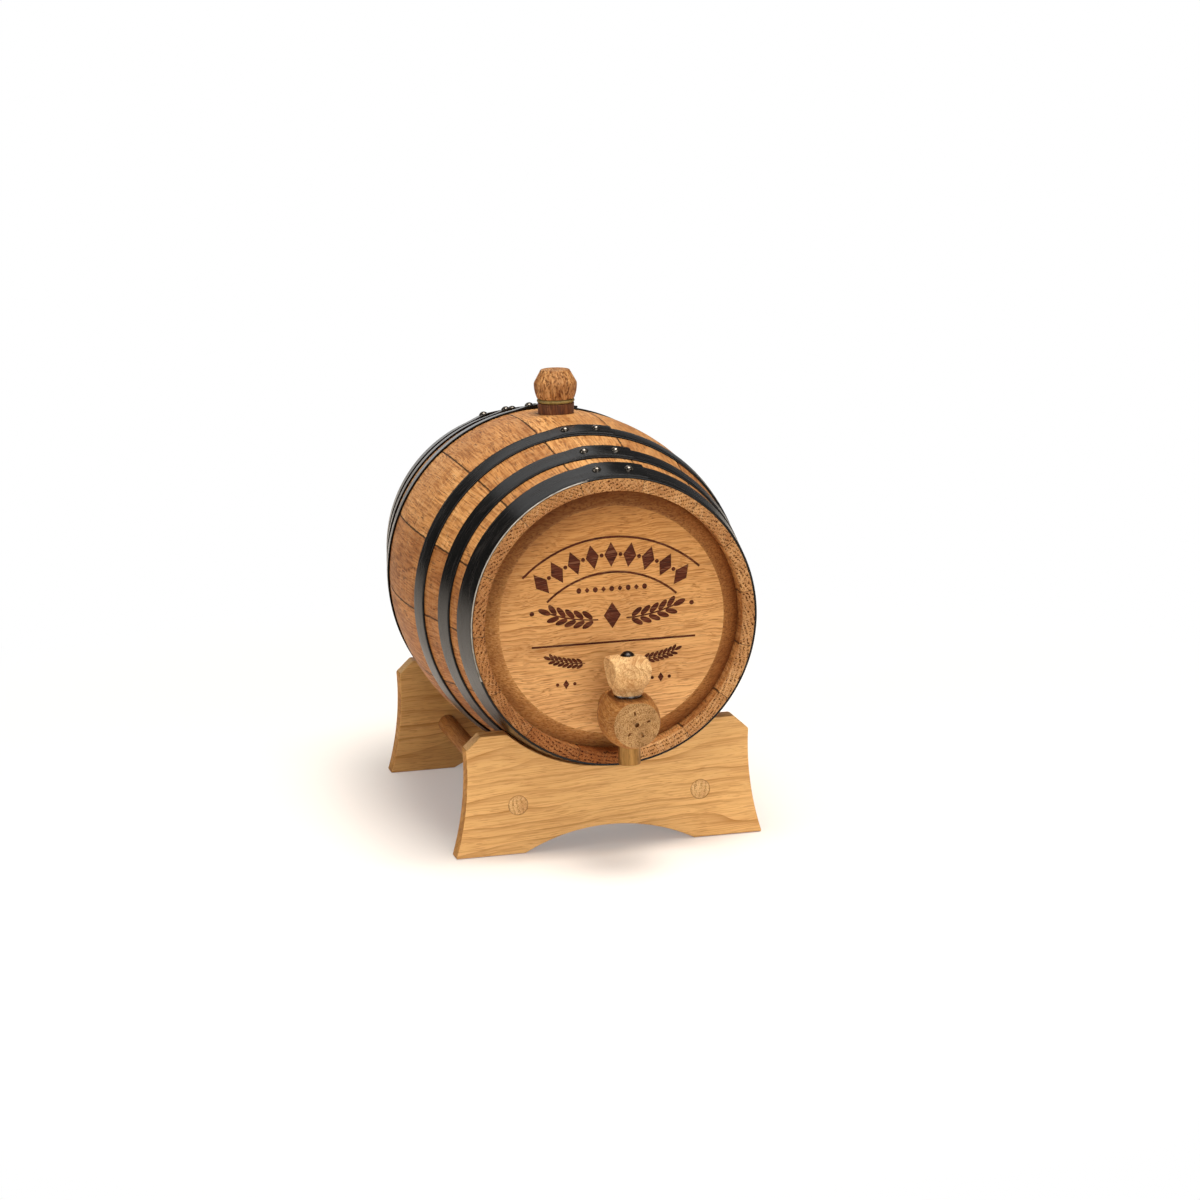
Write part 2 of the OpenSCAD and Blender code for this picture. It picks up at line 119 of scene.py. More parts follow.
def mended(bm: Shape) -> Shape:
    """Gives back a spun shape with its doubles merged and its faces pointing outwards."""
    bmesh.ops.remove_doubles(bm, verts=bm.verts, dist=1e-4)
    bmesh.ops.recalc_face_normals(bm, faces=bm.faces)
    return bm


def turned(profile: list[Point], steps: int, closed: bool = False) -> Shape:
    """Turns a profile all the way round the Z axis.

    Args:
        profile: radius and height of its points.
        steps: sides of the turned shape.
        closed: joins the last point to the first.

    Returns:
        The turned shape.
    """
    bm = bmesh.new()
    verts = [bm.verts.new((r, 0, z)) for r, z in profile]
    pairs = list(zip(verts, verts[1:])) + ([(verts[-1], verts[0])] if closed else [])
    edges = [bm.edges.new(pair) for pair in pairs]
    bmesh.ops.spin(bm, geom=verts + edges, cent=(0, 0, 0), axis=(0, 0, 1),
                   angle=math.tau, steps=steps, use_merge=True)
    return mended(bm)


def rod(low: Point, high: Point, steps: int) -> Shape:
    """Turns a rod between two ends, each given by its radius and its height."""
    return turned([(0, low[1]), low, high, (0, high[1])], steps)


def swept(section: list[Point], steps: int, angle: float) -> Shape:
    """Turns a closed section part of the way round the Z axis, with both ends capped.

    Args:
        section: radius and height of its corners.
        steps: how many steps the sweep has.
        angle: how far it turns, in degrees.

    Returns:
        The closed shape.
    """
    bm = bmesh.new()
    face = bm.faces.new([bm.verts.new((r, 0, z)) for r, z in section])
    bmesh.ops.spin(bm, geom=[face, *face.edges, *face.verts], cent=(0, 0, 0), axis=(0, 0, 1),
                   angle=math.radians(angle), steps=steps)
    return mended(bm)


def draw(bm: Shape, outline: list[Point]) -> None:
    """Draws a flat face, with its corners in the XY plane."""
    bm.faces.new([bm.verts.new((x, y, 0)) for x, y in outline])


def raise_up(bm: Shape, depth: float) -> None:
    """Raises a flat drawing to closed plates.

    Args:
        bm: the drawing, in the XY plane.
        depth: the plates' thickness, along Z.
    """
    made = bmesh.ops.extrude_face_region(bm, geom=list(bm.faces), use_keep_orig=True)
    top = [v for v in made["geom"] if isinstance(v, bmesh.types.BMVert)]
    bmesh.ops.translate(bm, verts=top, vec=(0, 0, depth))
    bmesh.ops.recalc_face_normals(bm, faces=bm.faces)


def block(size: tuple[float, float, float], place: Matrix) -> Shape:
    """Makes a block.

    Args:
        size: its size along its own axes.
        place: where its middle is, and how it is turned.

    Returns:
        The block.
    """
    bm = bmesh.new()
    bmesh.ops.create_cube(bm, size=1)
    bmesh.ops.transform(bm, matrix=place @ Matrix.Diagonal((*size, 1)), verts=bm.verts)
    return bm


def slice_off(bm: Shape, place: Vector, way: Vector) -> None:
    """Cuts off what lies beyond a plane and closes the cut.

    Args:
        bm: the shape.
        place: a point of the plane.
        way: the way out, square to the plane.
    """
    cut = bmesh.ops.bisect_plane(bm, geom=[*bm.verts, *bm.edges, *bm.faces],
                                 plane_co=place, plane_no=way, clear_outer=True)
    edges = [e for e in cut["geom_cut"] if isinstance(e, bmesh.types.BMEdge)]
    bmesh.ops.edgeloop_fill(bm, edges=edges)
    bmesh.ops.recalc_face_normals(bm, faces=bm.faces)


def ease(bm: Shape, width: float, sharper_than: float = 35, segments: int = 2) -> None:
    """Rounds the edges that are sharper than an angle.

    Args:
        bm: the shape.
        width: the rounding's width.
        sharper_than: the least angle between an edge's faces, in degrees.
        segments: faces across the rounding.
    """
    least = math.radians(sharper_than)
    sharp = [e for e in bm.edges if e.is_manifold and e.calc_face_angle(0) > least]
    bmesh.ops.bevel(bm, geom=sharp, offset=width, offset_type="OFFSET", segments=segments,
                    profile=0.5, affect="EDGES", clamp_overlap=True, material=-1)


def lay_down(bm: Shape, drop: float = 0.0, x: float = 0.0) -> None:
    """Lays a shape's Z axis along the cask, with X up first, and moves it to the row frame.

    Args:
        bm: the shape; its X axis turns to point up.
        drop: how far below the cask's axis it lies.
        x: how far to the right of it.
    """
    # X goes up, Y goes to the right and Z goes to the rear
    turn = Matrix(((0, 1, 0), (0, 0, 1), (1, 0, 0))).to_4x4()
    place = Matrix.Translation((x, CENTRE_Y, AXIS_H - drop))
    bmesh.ops.transform(bm, matrix=place @ turn, verts=bm.verts)


def stand_up(bm: Shape, y: float, z: float = 0.0) -> None:
    """Puts an upright shape at its place along the cask, z higher in the row frame."""
    bmesh.ops.translate(bm, verts=bm.verts, vec=(0, CENTRE_Y + y, z))


def merged(shapes: list[Shape]) -> Shape:
    """Puts several shapes into the first one.

    Args:
        shapes: the shapes; all but the first are freed.

    Returns:
        The first shape.
    """
    for other in shapes[1:]:
        mesh = bpy.data.meshes.new("part")
        other.to_mesh(mesh)
        shapes[0].from_mesh(mesh)
        bpy.data.meshes.remove(mesh)
        other.free()
    return shapes[0]


def mark(bm: Shape, test: Callable) -> None:
    """Gives the faces that pass a test the second material.

    Args:
        bm: the shape.
        test: says of a face whether it is meant.
    """
    bm.normal_update()
    for face in bm.faces:
        if test(face):
            face.material_index = 1


def mesh_object(bm: Shape, name: str, materials: list[Material]) -> bpy.types.Object:
    """Turns a shape in millimetres into an object in metres at the origin.

    Args:
        bm: the shape, which is freed.
        name: the object's name.
        materials: its material slots.

    Returns:
        The object.
    """
    bmesh.ops.scale(bm, verts=bm.verts, vec=(MM, MM, MM))
    mesh = bpy.data.meshes.new(name)
    bm.to_mesh(mesh)
    bm.free()
    for material in materials:
        mesh.materials.append(material)
    made = bpy.data.objects.new(name, mesh)
    bpy.context.scene.collection.objects.link(made)
    return made


def from_middle(v: bpy.types.MeshVertex) -> Vector:
    """Gives a mesh point's place from the cask's middle, in millimetres."""
    return v.co / MM - Vector((0, CENTRE_Y, AXIS_H))


def write(mesh: bpy.types.Mesh, name: str, values: list[float]) -> None:
    """Writes an attribute of a mesh's points.

    Args:
        mesh: the mesh.
        name: the attribute's name.
        values: a number for each point, or three for each.
    """
    single = len(values) == len(mesh.vertices)
    made = mesh.attributes.new(name, "FLOAT" if single else "FLOAT_VECTOR", "POINT")
    made.data.foreach_set("value" if single else "vector", values)


def carve(target: bpy.types.Object, cutter: bpy.types.Object) -> None:
    """Cuts one object's shape out of another and removes the cutter.

    Args:
        target: the object that is cut.
        cutter: the object that is taken away; its material goes on the cut.
    """
    cut = target.modifiers.new("cut", "BOOLEAN")
    cut.operation, cut.solver, cut.object = "DIFFERENCE", "EXACT", cutter
    cut.material_mode, cut.use_self = "INDEX", True
    seen = bpy.context.evaluated_depsgraph_get()
    mesh = bpy.data.meshes.new_from_object(target.evaluated_get(seen))
    target.modifiers.clear()
    target.data = mesh
    bpy.data.objects.remove(cutter)


def settle(made: bpy.types.Object, body: str, node: str, smooth: float = 38) -> None:
    """Shades a piece and hangs it on its body, in place of its CAD node.

    Args:
        made: the piece.
        body: the body that it rides on.
        node: the CAD node that it stands for.
        smooth: edges sharper than this angle stay crisp.
    """
    mesh = made.data
    mesh.polygons.foreach_set("use_smooth", [True] * len(mesh.polygons))
    mesh.set_sharp_from_angle(angle=math.radians(smooth))
    made.modifiers.new("even shading", "WEIGHTED_NORMAL").keep_sharp = True
    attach(made, body)
    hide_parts(node)
    log.info("%s: %d faces on %s", made.name, len(mesh.polygons), body)


# -------------------------------------------------------------------- finishes


def linear(code: str) -> tuple[float, ...]:
    """Turns an sRGB hex colour, such as #c08a55, to linear, with 1 for its alpha."""
    parts = [int(code[i : i + 2], 16) / 255 for i in (1, 3, 5)]
    return (*(c / 12.92 if c <= 0.04045 else ((c + 0.055) / 1.055) ** 2.4 for c in parts), 1.0)


def lighter(code: str, by: float = 0.35) -> str:
    """Mixes a share of warm white into an sRGB hex colour."""
    pairs = zip((code[1:3], code[3:5], code[5:7]), (0xF4, 0xDC, 0xB0))
    return "#" + "".join(f"{round(int(c, 16) + (w - int(c, 16)) * by):02x}" for c, w in pairs)


def add_node(tree: bpy.types.NodeTree, kind: str, inputs: tuple | dict = (),
             out: int | str = 0, **settings: object) -> Socket | None:
    """Adds a node with its settings and links.

    Args:
        tree: the node tree that gets it.
        kind: the node's type name, without its ShaderNode.
        inputs: values or other nodes' outputs, in order, or by input name or number.
        out: the name or number of the output that is wanted.
        settings: the node's own properties.

    Returns:
        That output, or None where the node has no outputs.
    """
    made = tree.nodes.new("ShaderNode" + kind)
    for name, value in settings.items():
        setattr(made, name, value)
    for name, value in inputs.items() if isinstance(inputs, dict) else enumerate(inputs):
        if isinstance(value, Socket):
            tree.links.new(value, made.inputs[name])
        else:
            made.inputs[name].default_value = value
    return made.outputs[out] if made.outputs else None


def new_material(name: str) -> tuple[Material, Callable]:
    """Makes an empty node material.

    Args:
        name: the material's name.

    Returns:
        The material, and add_node for its tree.
    """
    material = bpy.data.materials.new(name)
    material.use_nodes = True
    material.node_tree.nodes.clear()
    return material, partial(add_node, material.node_tree)


def streaks(add: Callable, place: Socket, size: tuple[float, ...], detail: float = 2.0) -> Socket:
    """Draws soft spots or streaks of a given size.

    Args:
        add: adds a node to the material.
        place: the pattern's place.
        size: a spot's size across, along and into the board, in millimetres.
        detail: octaves of finer noise.

    Returns:
        The pattern, whose values lie round a half.
    """
    scaled = add("VectorMath", (place, tuple(1 / s for s in size)), operation="MULTIPLY")
    return add("TexNoise", {"Vector": scaled, "Scale": 1.0, "Detail": detail,
                            "Roughness": 0.55}, "Fac")


def lay(add: Callable, colour: object, over: object, value: Socket, low: float = 0.0,
        high: float = 1.0, most: float = 1.0, blend: str = "MIX") -> Socket:
    """Lays a colour over another where a pattern's value rises.

    Args:
        add: adds a node to the material.
        colour: the colour so far.
        over: the colour that goes over it.
        value: the pattern.
        low: the value at which it starts to show.
        high: the value at which it shows most.
        most: its greatest share.
        blend: how the two mix.

    Returns:
        The new colour.
    """
    share = add("MapRange", (value, low, high, 0.0, most))
    return add("Mix", {0: share, 6: colour, 7: over}, 2, data_type="RGBA", blend_type=blend)


class Grain(Enum):
    """Where a wood's grain runs, as the turn that lays it along the pattern's Y axis."""

    SURFACE = "its own attribute, which follows a bent board"
    ACROSS = (math.radians(90), 0, math.radians(90))
    ALONG = (0, 0, 0)
    UPRIGHT = (math.radians(90), 0, 0)


@dataclass(frozen=True)
class Pattern:
    """A solid wood pattern in millimetres: X across the grain, Y along it, Z into the board."""

    grain: Grain
    tilt: float = 0.0  # turns the grain in the board's face, in degrees

    def place(self, add: Callable) -> Socket:
        """Gives each point's place in the pattern.

        Args:
            add: adds a node to the material.

        Returns:
            The place as a vector.
        """
        if self.grain is Grain.SURFACE:
            return add("Attribute", out="Vector", attribute_name="grain")
        turn = Vector(self.grain.value) + Vector((0, 0, math.radians(self.tilt)))
        return add("Mapping", {"Vector": add("TexCoord", out="Object"), "Rotation": turn,
                               "Scale": (1 / MM,) * 3})


def painted_rim_shadow(add: Callable) -> Socket:
    """Gives the painted shadow that the rim casts on a head, strongest at the top left.

    Args:
        add: adds a node to the material.

    Returns:
        From 0 on the open panel to 1 next to the rim at the top left.
    """
    away = add("VectorMath", (add("TexCoord", out="Object"), (0, 0, AXIS_H * MM)),
               operation="SUBTRACT")
    flat = add("VectorMath", (away, (1, 0, 1)), operation="MULTIPLY")
    far = add("VectorMath", (flat,), "Value", operation="LENGTH")
    way = add("VectorMath", (flat,), operation="NORMALIZE")
    side = add("VectorMath", (way, (-0.42, 0, 0.91)), "Value", operation="DOT_PRODUCT")
    return add("Math", (add("MapRange", (far, 43 * MM, 58 * MM)),
                        add("MapRange", (side, 0.3, 0.95))), operation="MULTIPLY")


@dataclass(frozen=True)
class Wood:
    """Sawn or turned wood, seen on its sides: growth rings, fibres, pores and marks."""

    name: str
    pattern: Pattern
    light: str  # early wood
    dark: str  # late wood
    pore: str
    ring: float = 3.0  # width of a year's growth
    ring_depth: float = 0.6  # how strongly rings show
    ring_edge: float = 2.0  # how suddenly a ring ends
    wander: float = 5.0  # how far rings wander sideways
    wave: float = 1.2  # how far fibres wave sideways
    wave_length: float = 22.0
    fibre: float = 0.6  # width of a streak: a bundle of fibres that are too fine to show
    fibre_length: float = 18.0
    fibre_depth: float = 0.5
    pore_size: Point = (0.4, 5.0)  # width and length
    pore_level: float = 0.60  # noise level above which pores open
    pore_depth: float = 0.8
    mark: float = 0.0  # how strongly pale rays and plane marks cross the grain
    mark_size: Point = (8.0, 0.8)
    patch: float = 0.25  # how strongly the tone drifts over a board
    patch_size: float = 28.0
    tint: str = ""  # the colour that multiplies a board of tone 1
    tone: str = "tone"  # the attribute that the tone comes from
    seam: float = 0.0  # width of the dark line beside a joint
    paint_rim_shadow: bool = False  # painted shadow: darkens a head towards its rim, most at the top left
    roughness: float = 0.58
    shine: float = 0.15  # specular level: bare wood mirrors little
    bump: float = 0.35

    def bent(self, add: Callable, place: Socket) -> Socket:
        """Bends the pattern sideways before anything is drawn in it, so that fibres wave.

        Args:
            add: adds a node to the material.
            place: the pattern's place.

        Returns:
            The bent place.
        """
        depth = 0.6 * self.wave_length
        bend = streaks(add, place, (depth, self.wave_length, depth), 1.0)
        bend = add("Math", (bend, 4 * self.wave, -2 * self.wave), operation="MULTIPLY_ADD")
        return add("VectorMath", (place, add("CombineXYZ", {0: bend, 2: bend})), operation="ADD")

    def rings(self, add: Callable, place: Socket) -> Socket:
        """Draws the growth rings, which wander, differ in width and fade here and there.

        Args:
            add: adds a node to the material.
            place: the pattern's place.

        Returns:
            From 0 in early wood to 1 in late wood.
        """
        across, into = (add("SeparateXYZ", (place,), axis) for axis in "XZ")
        spread = add("Math", (into, 0.35, across), operation="MULTIPLY_ADD")
        sway = streaks(add, place, (26, 120, 26), 1.0)
        sway = add("Math", (sway, 2 * self.wander, spread), operation="MULTIPLY_ADD")
        uneven = streaks(add, place, (3.2 * self.ring, 180, 3.2 * self.ring), 1.0)
        uneven = add("Math", (uneven, 2.4), operation="MULTIPLY")
        phase = add("Math", (sway, 1 / self.ring, uneven), operation="MULTIPLY_ADD")
        phase = add("Math", (phase,), operation="FRACT")
        ring = add("Math", (phase, self.ring_edge), operation="POWER")
        fade = streaks(add, place, (2 * self.ring, 45, 2 * self.ring), 1.0)
        return add("Math", (ring, add("MapRange", (fade, 0.32, 0.6))), operation="MULTIPLY")

    def build(self) -> Material:
        """Makes the material.

        Returns:
            The material.
        """
        material, add = new_material(self.name)
        place = self.bent(add, self.pattern.place(add))
        ring = self.rings(add, place)
        light, dark = linear(self.light), linear(self.dark)
        colour = lay(add, light, dark, ring, most=self.ring_depth)
        fibre = streaks(add, place, (self.fibre, self.fibre_length, self.fibre), 3.0)
        colour = lay(add, colour, dark, fibre, 0.49, 0.61, self.fibre_depth)
        colour = lay(add, colour, linear(lighter(self.light)), fibre, 0.46, 0.34,
                     0.6 * self.fibre_depth)
        size = self.patch_size
        patch = streaks(add, place, (0.5 * size, 1.4 * size, 0.5 * size))
        colour = lay(add, colour, dark, patch, 0.38, 0.68, self.patch)
        width, length = self.pore_size
        pore = add("MapRange", (streaks(add, place, (width, length, width), 1.5),
                                self.pore_level, self.pore_level + 0.06, 0.0, self.pore_depth))
        early = add("Math", (ring, -0.6, 1.0), operation="MULTIPLY_ADD")
        pore = add("Math", (pore, early), operation="MULTIPLY")
        colour = lay(add, colour, linear(self.pore), pore)
        if self.mark:
            wide, narrow = self.mark_size
            cross = streaks(add, place, (wide, narrow, wide), 2.5)
            pale = linear(lighter(self.light, 0.5))
            colour = lay(add, colour, pale, cross, 0.54, 0.68, self.mark)
            colour = lay(add, colour, dark, cross, 0.44, 0.32, 0.8 * self.mark)
        if self.tint:
            tone = add("Attribute", out="Fac", attribute_name=self.tone)
            colour = lay(add, colour, linear(self.tint), tone, blend="MULTIPLY")
        if self.seam:
            edge = add("Attribute", out="Fac", attribute_name="seam")
            ragged = streaks(add, place, (1.5, 3.0, 1.5))
            edge = add("Math", (ragged, -1.6 * self.seam, edge), operation="MULTIPLY_ADD")
            colour = lay(add, colour, linear("#2b170b"), edge, 0.1 * self.seam,
                         -0.5 * self.seam, 0.85)
        # painted shadow of the rim, laid over the head's top left
        if self.paint_rim_shadow:
            colour = lay(add, colour, linear("#a8998c"), painted_rim_shadow(add), blend="MULTIPLY")
        height = add("Math", (fibre, 0.6), operation="MULTIPLY")
        height = add("Math", (height, pore), operation="SUBTRACT")
        bump = add("Bump", {"Height": height, "Strength": self.bump, "Distance": 0.12 * MM})
        rough = add("Math", (fibre, 0.16, self.roughness - 0.08), operation="MULTIPLY_ADD")
        shader = add("BsdfPrincipled", {"Base Color": colour, "Roughness": rough,
                                        "Normal": bump, "Specular IOR Level": self.shine})
        add("OutputMaterial", {"Surface": shader})
        return material


@dataclass(frozen=True)
class EndWood:
    """Wood cut across its fibres: curved rings, rows of open pores and pale rays."""

    name: str
    pattern: Pattern
    light: str
    dark: str
    pore: str
    ring: float = 2.2  # width of a year's growth
    heart: Point = (-60.0, 40.0)  # the rings' centre in the pattern
    band: float = 0.6  # share of a ring that is porous
    pore_size: float = 0.7
    pore_depth: float = 0.9
    ray: float = 0.35  # how strongly pale rays show
    tint: str = ""  # the colour that multiplies an end of tone 1

    def build(self) -> Material:
        """Makes the material.

        Returns:
            The material.
        """
        material, add = new_material(self.name)
        place = self.pattern.place(add)
        flat = add("VectorMath", (place, (1, 0.02, 1)), operation="MULTIPLY")
        away = add("VectorMath", (flat, (self.heart[0], 0, self.heart[1])),
                   operation="SUBTRACT")
        far = add("VectorMath", (away,), "Value", operation="LENGTH")
        wobble = add("Math", (streaks(add, flat, (7, 7, 7)), 1.6), operation="MULTIPLY")
        ring = add("Math", (far, 1 / self.ring, wobble), operation="MULTIPLY_ADD")
        ring = add("Math", (ring,), operation="FRACT")
        light, dark = linear(self.light), linear(self.dark)
        speckle = streaks(add, flat, (0.45, 0.45, 0.45), 3.0)
        colour = lay(add, light, dark, speckle, 0.35, 0.7, 0.75)
        across, into = (add("SeparateXYZ", (away,), axis) for axis in "XZ")
        turn = add("Math", (into, across), operation="ARCTAN2")
        turn = add("Math", (turn, math.hypot(*self.heart)), operation="MULTIPLY")
        ray = streaks(add, add("CombineXYZ", (turn, far)), (0.5, 9, 1))
        colour = lay(add, colour, linear(lighter(self.light, 0.55)), ray, 0.52, 0.68, self.ray)
        porous = add("MapRange", (ring, self.band, self.band * 0.6))
        dots = streaks(add, flat, (self.pore_size,) * 3, 1.0)
        pore = add("Math", (add("MapRange", (dots, 0.47, 0.60, 0.0, self.pore_depth)), porous),
                   operation="MULTIPLY")
        colour = lay(add, colour, linear(self.pore), pore)
        patch = streaks(add, place, (9, 60, 9))
        colour = lay(add, colour, dark, patch, 0.35, 0.7, 0.4, "MULTIPLY")
        if self.tint:
            tone = add("Attribute", out="Fac", attribute_name="end")
            colour = lay(add, colour, linear(self.tint), tone, blend="MULTIPLY")
        height = add("Math", (speckle, 0.5), operation="MULTIPLY")
        height = add("Math", (height, pore), operation="SUBTRACT")
        bump = add("Bump", {"Height": height, "Strength": 0.5, "Distance": 0.15 * MM})
        shader = add("BsdfPrincipled", {"Base Color": colour, "Roughness": 0.65,
                                        "Normal": bump, "Specular IOR Level": 0.06})
        add("OutputMaterial", {"Surface": shader})
        return material


@dataclass(frozen=True)
class Metal:
    """A metal or its coat, with streaks, stains and fine scratches."""

    name: str
    colour: str
    stain: str
    metallic: float
    roughness: float
    pattern: Pattern = Pattern(Grain.ALONG)
    worn: float = 0.2  # how much streaks and scratches change the gloss
    stain_size: tuple[float, float, float] = (2, 2, 2)
    scratch_size: tuple[float, float, float] = (0.7, 0.7, 0.7)
    shine: float = 0.5  # specular level where it isn't bare metal
    bump: float = 0.08

    def build(self) -> Material:
        """Makes the material.

        Returns:
            The material.
        """
        material, add = new_material(self.name)
        place = self.pattern.place(add)
        scratch = streaks(add, place, self.scratch_size, 3.0)
        both = add("Math", (streaks(add, place, self.stain_size, 4.0), scratch),
                   operation="ADD")
        colour = lay(add, linear(self.colour), linear(self.stain), both, 0.95, 1.35)
        rough = add("MapRange", (both, 0.7, 1.35, self.roughness - self.worn / 2,
                                 self.roughness + self.worn / 2))
        bump = add("Bump", {"Height": scratch, "Strength": self.bump, "Distance": 0.05 * MM})
        shader = add("BsdfPrincipled", {
            "Base Color": colour, "Roughness": rough, "Normal": bump,
            "Metallic": self.metallic, "Specular IOR Level": self.shine})
        add("OutputMaterial", {"Surface": shader})
        return material


# planed oak that was oiled after the hoops went on: satin, with dark open pores
STAVE_OAK = Wood("planed oiled oak", Pattern(Grain.SURFACE), "#d89b59", "#915626", "#55290e",
                 ring=5.5, ring_depth=0.55, wander=7, wave=0.7, fibre=0.75, fibre_length=20,
                 fibre_depth=0.75, pore_size=(0.55, 7.0), pore_level=0.585, mark=0.4,
                 patch=0.45, tint="#b0885c", seam=0.7)
# sawn ends of the staves: thirsty end grain with rows of open pores
STAVE_END = EndWood("sawn oak end grain", Pattern(Grain.SURFACE), "#d3a269", "#93592a",
                    "#4e2810", ring=1.7, heart=(630, 900), ray=0.5, band=0.7, pore_size=0.6,
                    pore_depth=1.0, tint="#a87850")
# sanded oak with the flat-sawn figure lying across the head; its tint, laid by the rise
# attribute, is painted shade that darkens it towards the top, and it takes the rim's painted
# shadow
HEAD_OAK = Wood("sanded oak head", Pattern(Grain.ACROSS, tilt=2.5), "#dca76a", "#986233",
                "#6a3d1a", ring_depth=0.8, ring_edge=4.0, wave=1.3, fibre=0.5,
                fibre_length=24, pore_size=(0.45, 8.0), pore_depth=0.55, tint="#d4bc89",
                tone="rise", paint_rim_shadow=True)
# the turned bevel round the head cuts across the grain and takes more oil; its tint, laid by the
# tone attribute, is painted shade towards the rim and on its right side, and it takes the rim's
# painted shadow
BEVEL_OAK = Wood("turned oak bevel", Pattern(Grain.ACROSS, tilt=2.5), "#c48d50", "#8c5930",
                 "#64401f", ring=2.8, ring_depth=0.5, wander=7, fibre=0.55, fibre_length=6,
                 fibre_depth=0.55, pore_size=(0.6, 1.5), pore_level=0.56, pore_depth=0.5,
                 patch=0.4, tint="#b08c70", paint_rim_shadow=True, bump=0.5)
# a hot mark: charred oak, brown-black with paler ridges of late wood
BURNT_OAK = Wood("burnt oak", Pattern(Grain.ACROSS, tilt=2.5), "#5f2a13", "#321307",
                 "#1e0b04", fibre=0.5, fibre_depth=0.7, pore_size=(0.45, 6.0), patch=0.4,
                 roughness=0.7, bump=0.5)
# lathe-turned hardwood left bare: warm, slightly fuzzy
BUNG_WOOD = Wood("turned bare hardwood", Pattern(Grain.UPRIGHT), "#c48d54", "#7c4720",
                 "#4c240c", ring=3.2, wander=6, fibre=0.8, fibre_length=5, fibre_depth=0.7,
                 pore_size=(0.8, 2.2), pore_level=0.53, patch=0.55, patch_size=7, bump=0.5)
# the plug below the seal has drunk from the cask and is dark with it
SOAKED_WOOD = Wood("soaked hardwood plug", Pattern(Grain.UPRIGHT), "#74411e", "#48240e",
                   "#351808", ring=2.4, ring_depth=0.5, wander=4, fibre=0.8,
                   fibre_depth=0.7, patch=0.5, patch_size=8, shine=0.3)
# the tap's barrel is turned along its own grain
TAP_WOOD = Wood("turned tap hardwood", Pattern(Grain.ALONG), "#ab763d", "#754019", "#63340f",
                wander=4, fibre_length=10, fibre_depth=0.6, pore_size=(0.6, 2.2),
                pore_level=0.58, pore_depth=0.6, patch=0.5, patch_size=7)
TAP_END = EndWood("turned tap end grain", Pattern(Grain.ALONG), "#c39a65", "#7c4e29",
                  "#643c1c", ring=3.0, heart=(4.0, 62.0), band=0.9, pore_size=0.6,
                  pore_depth=0.6)
KEY_WOOD = Wood("turned key hardwood", Pattern(Grain.ALONG, tilt=20), "#deb67e", "#9c6533",
                "#8a5526", ring=2.3, ring_depth=0.85, ring_edge=3.0, wander=8,
                fibre_length=7, pore_size=(0.6, 2.0), pore_level=0.58, pore_depth=0.5,
                patch=0.45, patch_size=6)
# pale closed-pore board with wide flowing figure, sanded and lacquered satin
STAND_WOOD = Wood("sanded pale hardwood", Pattern(Grain.ACROSS, tilt=3), "#dfae6d",
                  "#a06a2e", "#98642e", ring=7.0, ring_depth=0.85, ring_edge=5.0,
                  wander=11, wave=0.8, wave_length=32, fibre=0.55, fibre_length=34,
                  fibre_depth=0.35, pore_size=(0.4, 8.0), pore_depth=0.4, patch_size=40,
                  roughness=0.5, shine=0.2, bump=0.15)
STAND_END = EndWood("sanded pale end grain", Pattern(Grain.ACROSS), "#cb9450", "#8f5c2c",
                    "#6d4018", ring=3.2, heart=(300, 90), pore_depth=0.5, pore_size=0.5)
DOWEL_WOOD = Wood("bare dowel wood", Pattern(Grain.ALONG), "#b17840", "#824a1d", "#5e3313",
                  ring=2.5, ring_depth=0.4, wander=3, patch=0.3, patch_size=14)
DOWEL_END = EndWood("sawn dowel end", Pattern(Grain.ALONG), "#e8c085", "#b27c43", "#8a5a2a",
                    heart=(8, 30), pore_size=0.55, pore_depth=0.6)
CORK = Wood("cork", Pattern(Grain.UPRIGHT), "#c49a6a", "#8d6238", "#5a3a1e", ring=2.0,
            ring_depth=0.2, fibre=0.9, fibre_length=1.2, pore_size=(0.7, 1.0),
            pore_level=0.58, roughness=0.8)
# hoop iron under black varnish: glossy, streaked along the bands
HOOP_IRON = Metal("black varnished hoop iron", "#090807", "#1d1916", 0.0, 0.24,
                  Pattern(Grain.SURFACE), worn=0.16, stain_size=(3.5, 16, 3.5),
                  scratch_size=(0.6, 9, 0.6), shine=0.18, bump=0.12)
# the sheared edge of a band, bare where the varnish has worn off; its pale colour, laid on the
# upper left only, is also a painted highlight
HOOP_EDGE = Metal("bare iron edge with painted highlight", "#8b857c", "#433f39", 1.0, 0.34,
                  Pattern(Grain.SURFACE), stain_size=(2.5, 12, 2.5),
                  scratch_size=(0.5, 3, 0.5))
RIVET_IRON = Metal("black varnished rivets", "#5f574e", "#938a7e", 0.9, 0.26)
# drawn brass tube, dulled by handling
BRASS = Metal("drawn brass tube", "#967040", "#644623", 1.0, 0.42, stain_size=(4, 4, 9),
              scratch_size=(0.6, 0.6, 5))
WASHER_STEEL = Metal("plain steel washer", "#7d7b79", "#4c4a48", 1.0, 0.26,
                     stain_size=(3, 3, 3))
SCREW_STEEL = Metal("blued steel screw", "#2b2826", "#4d463f", 1.0, 0.34)
# a moulded seal, olive and rough with dried spirit
SEAL_RUBBER = Metal("olive moulded seal", "#75602b", "#a58c48", 0.0, 0.55, worn=0.3,
                    stain_size=(1.6, 1.6, 1.6), bump=0.6)


# --------------------------------------------------------------------- the cask


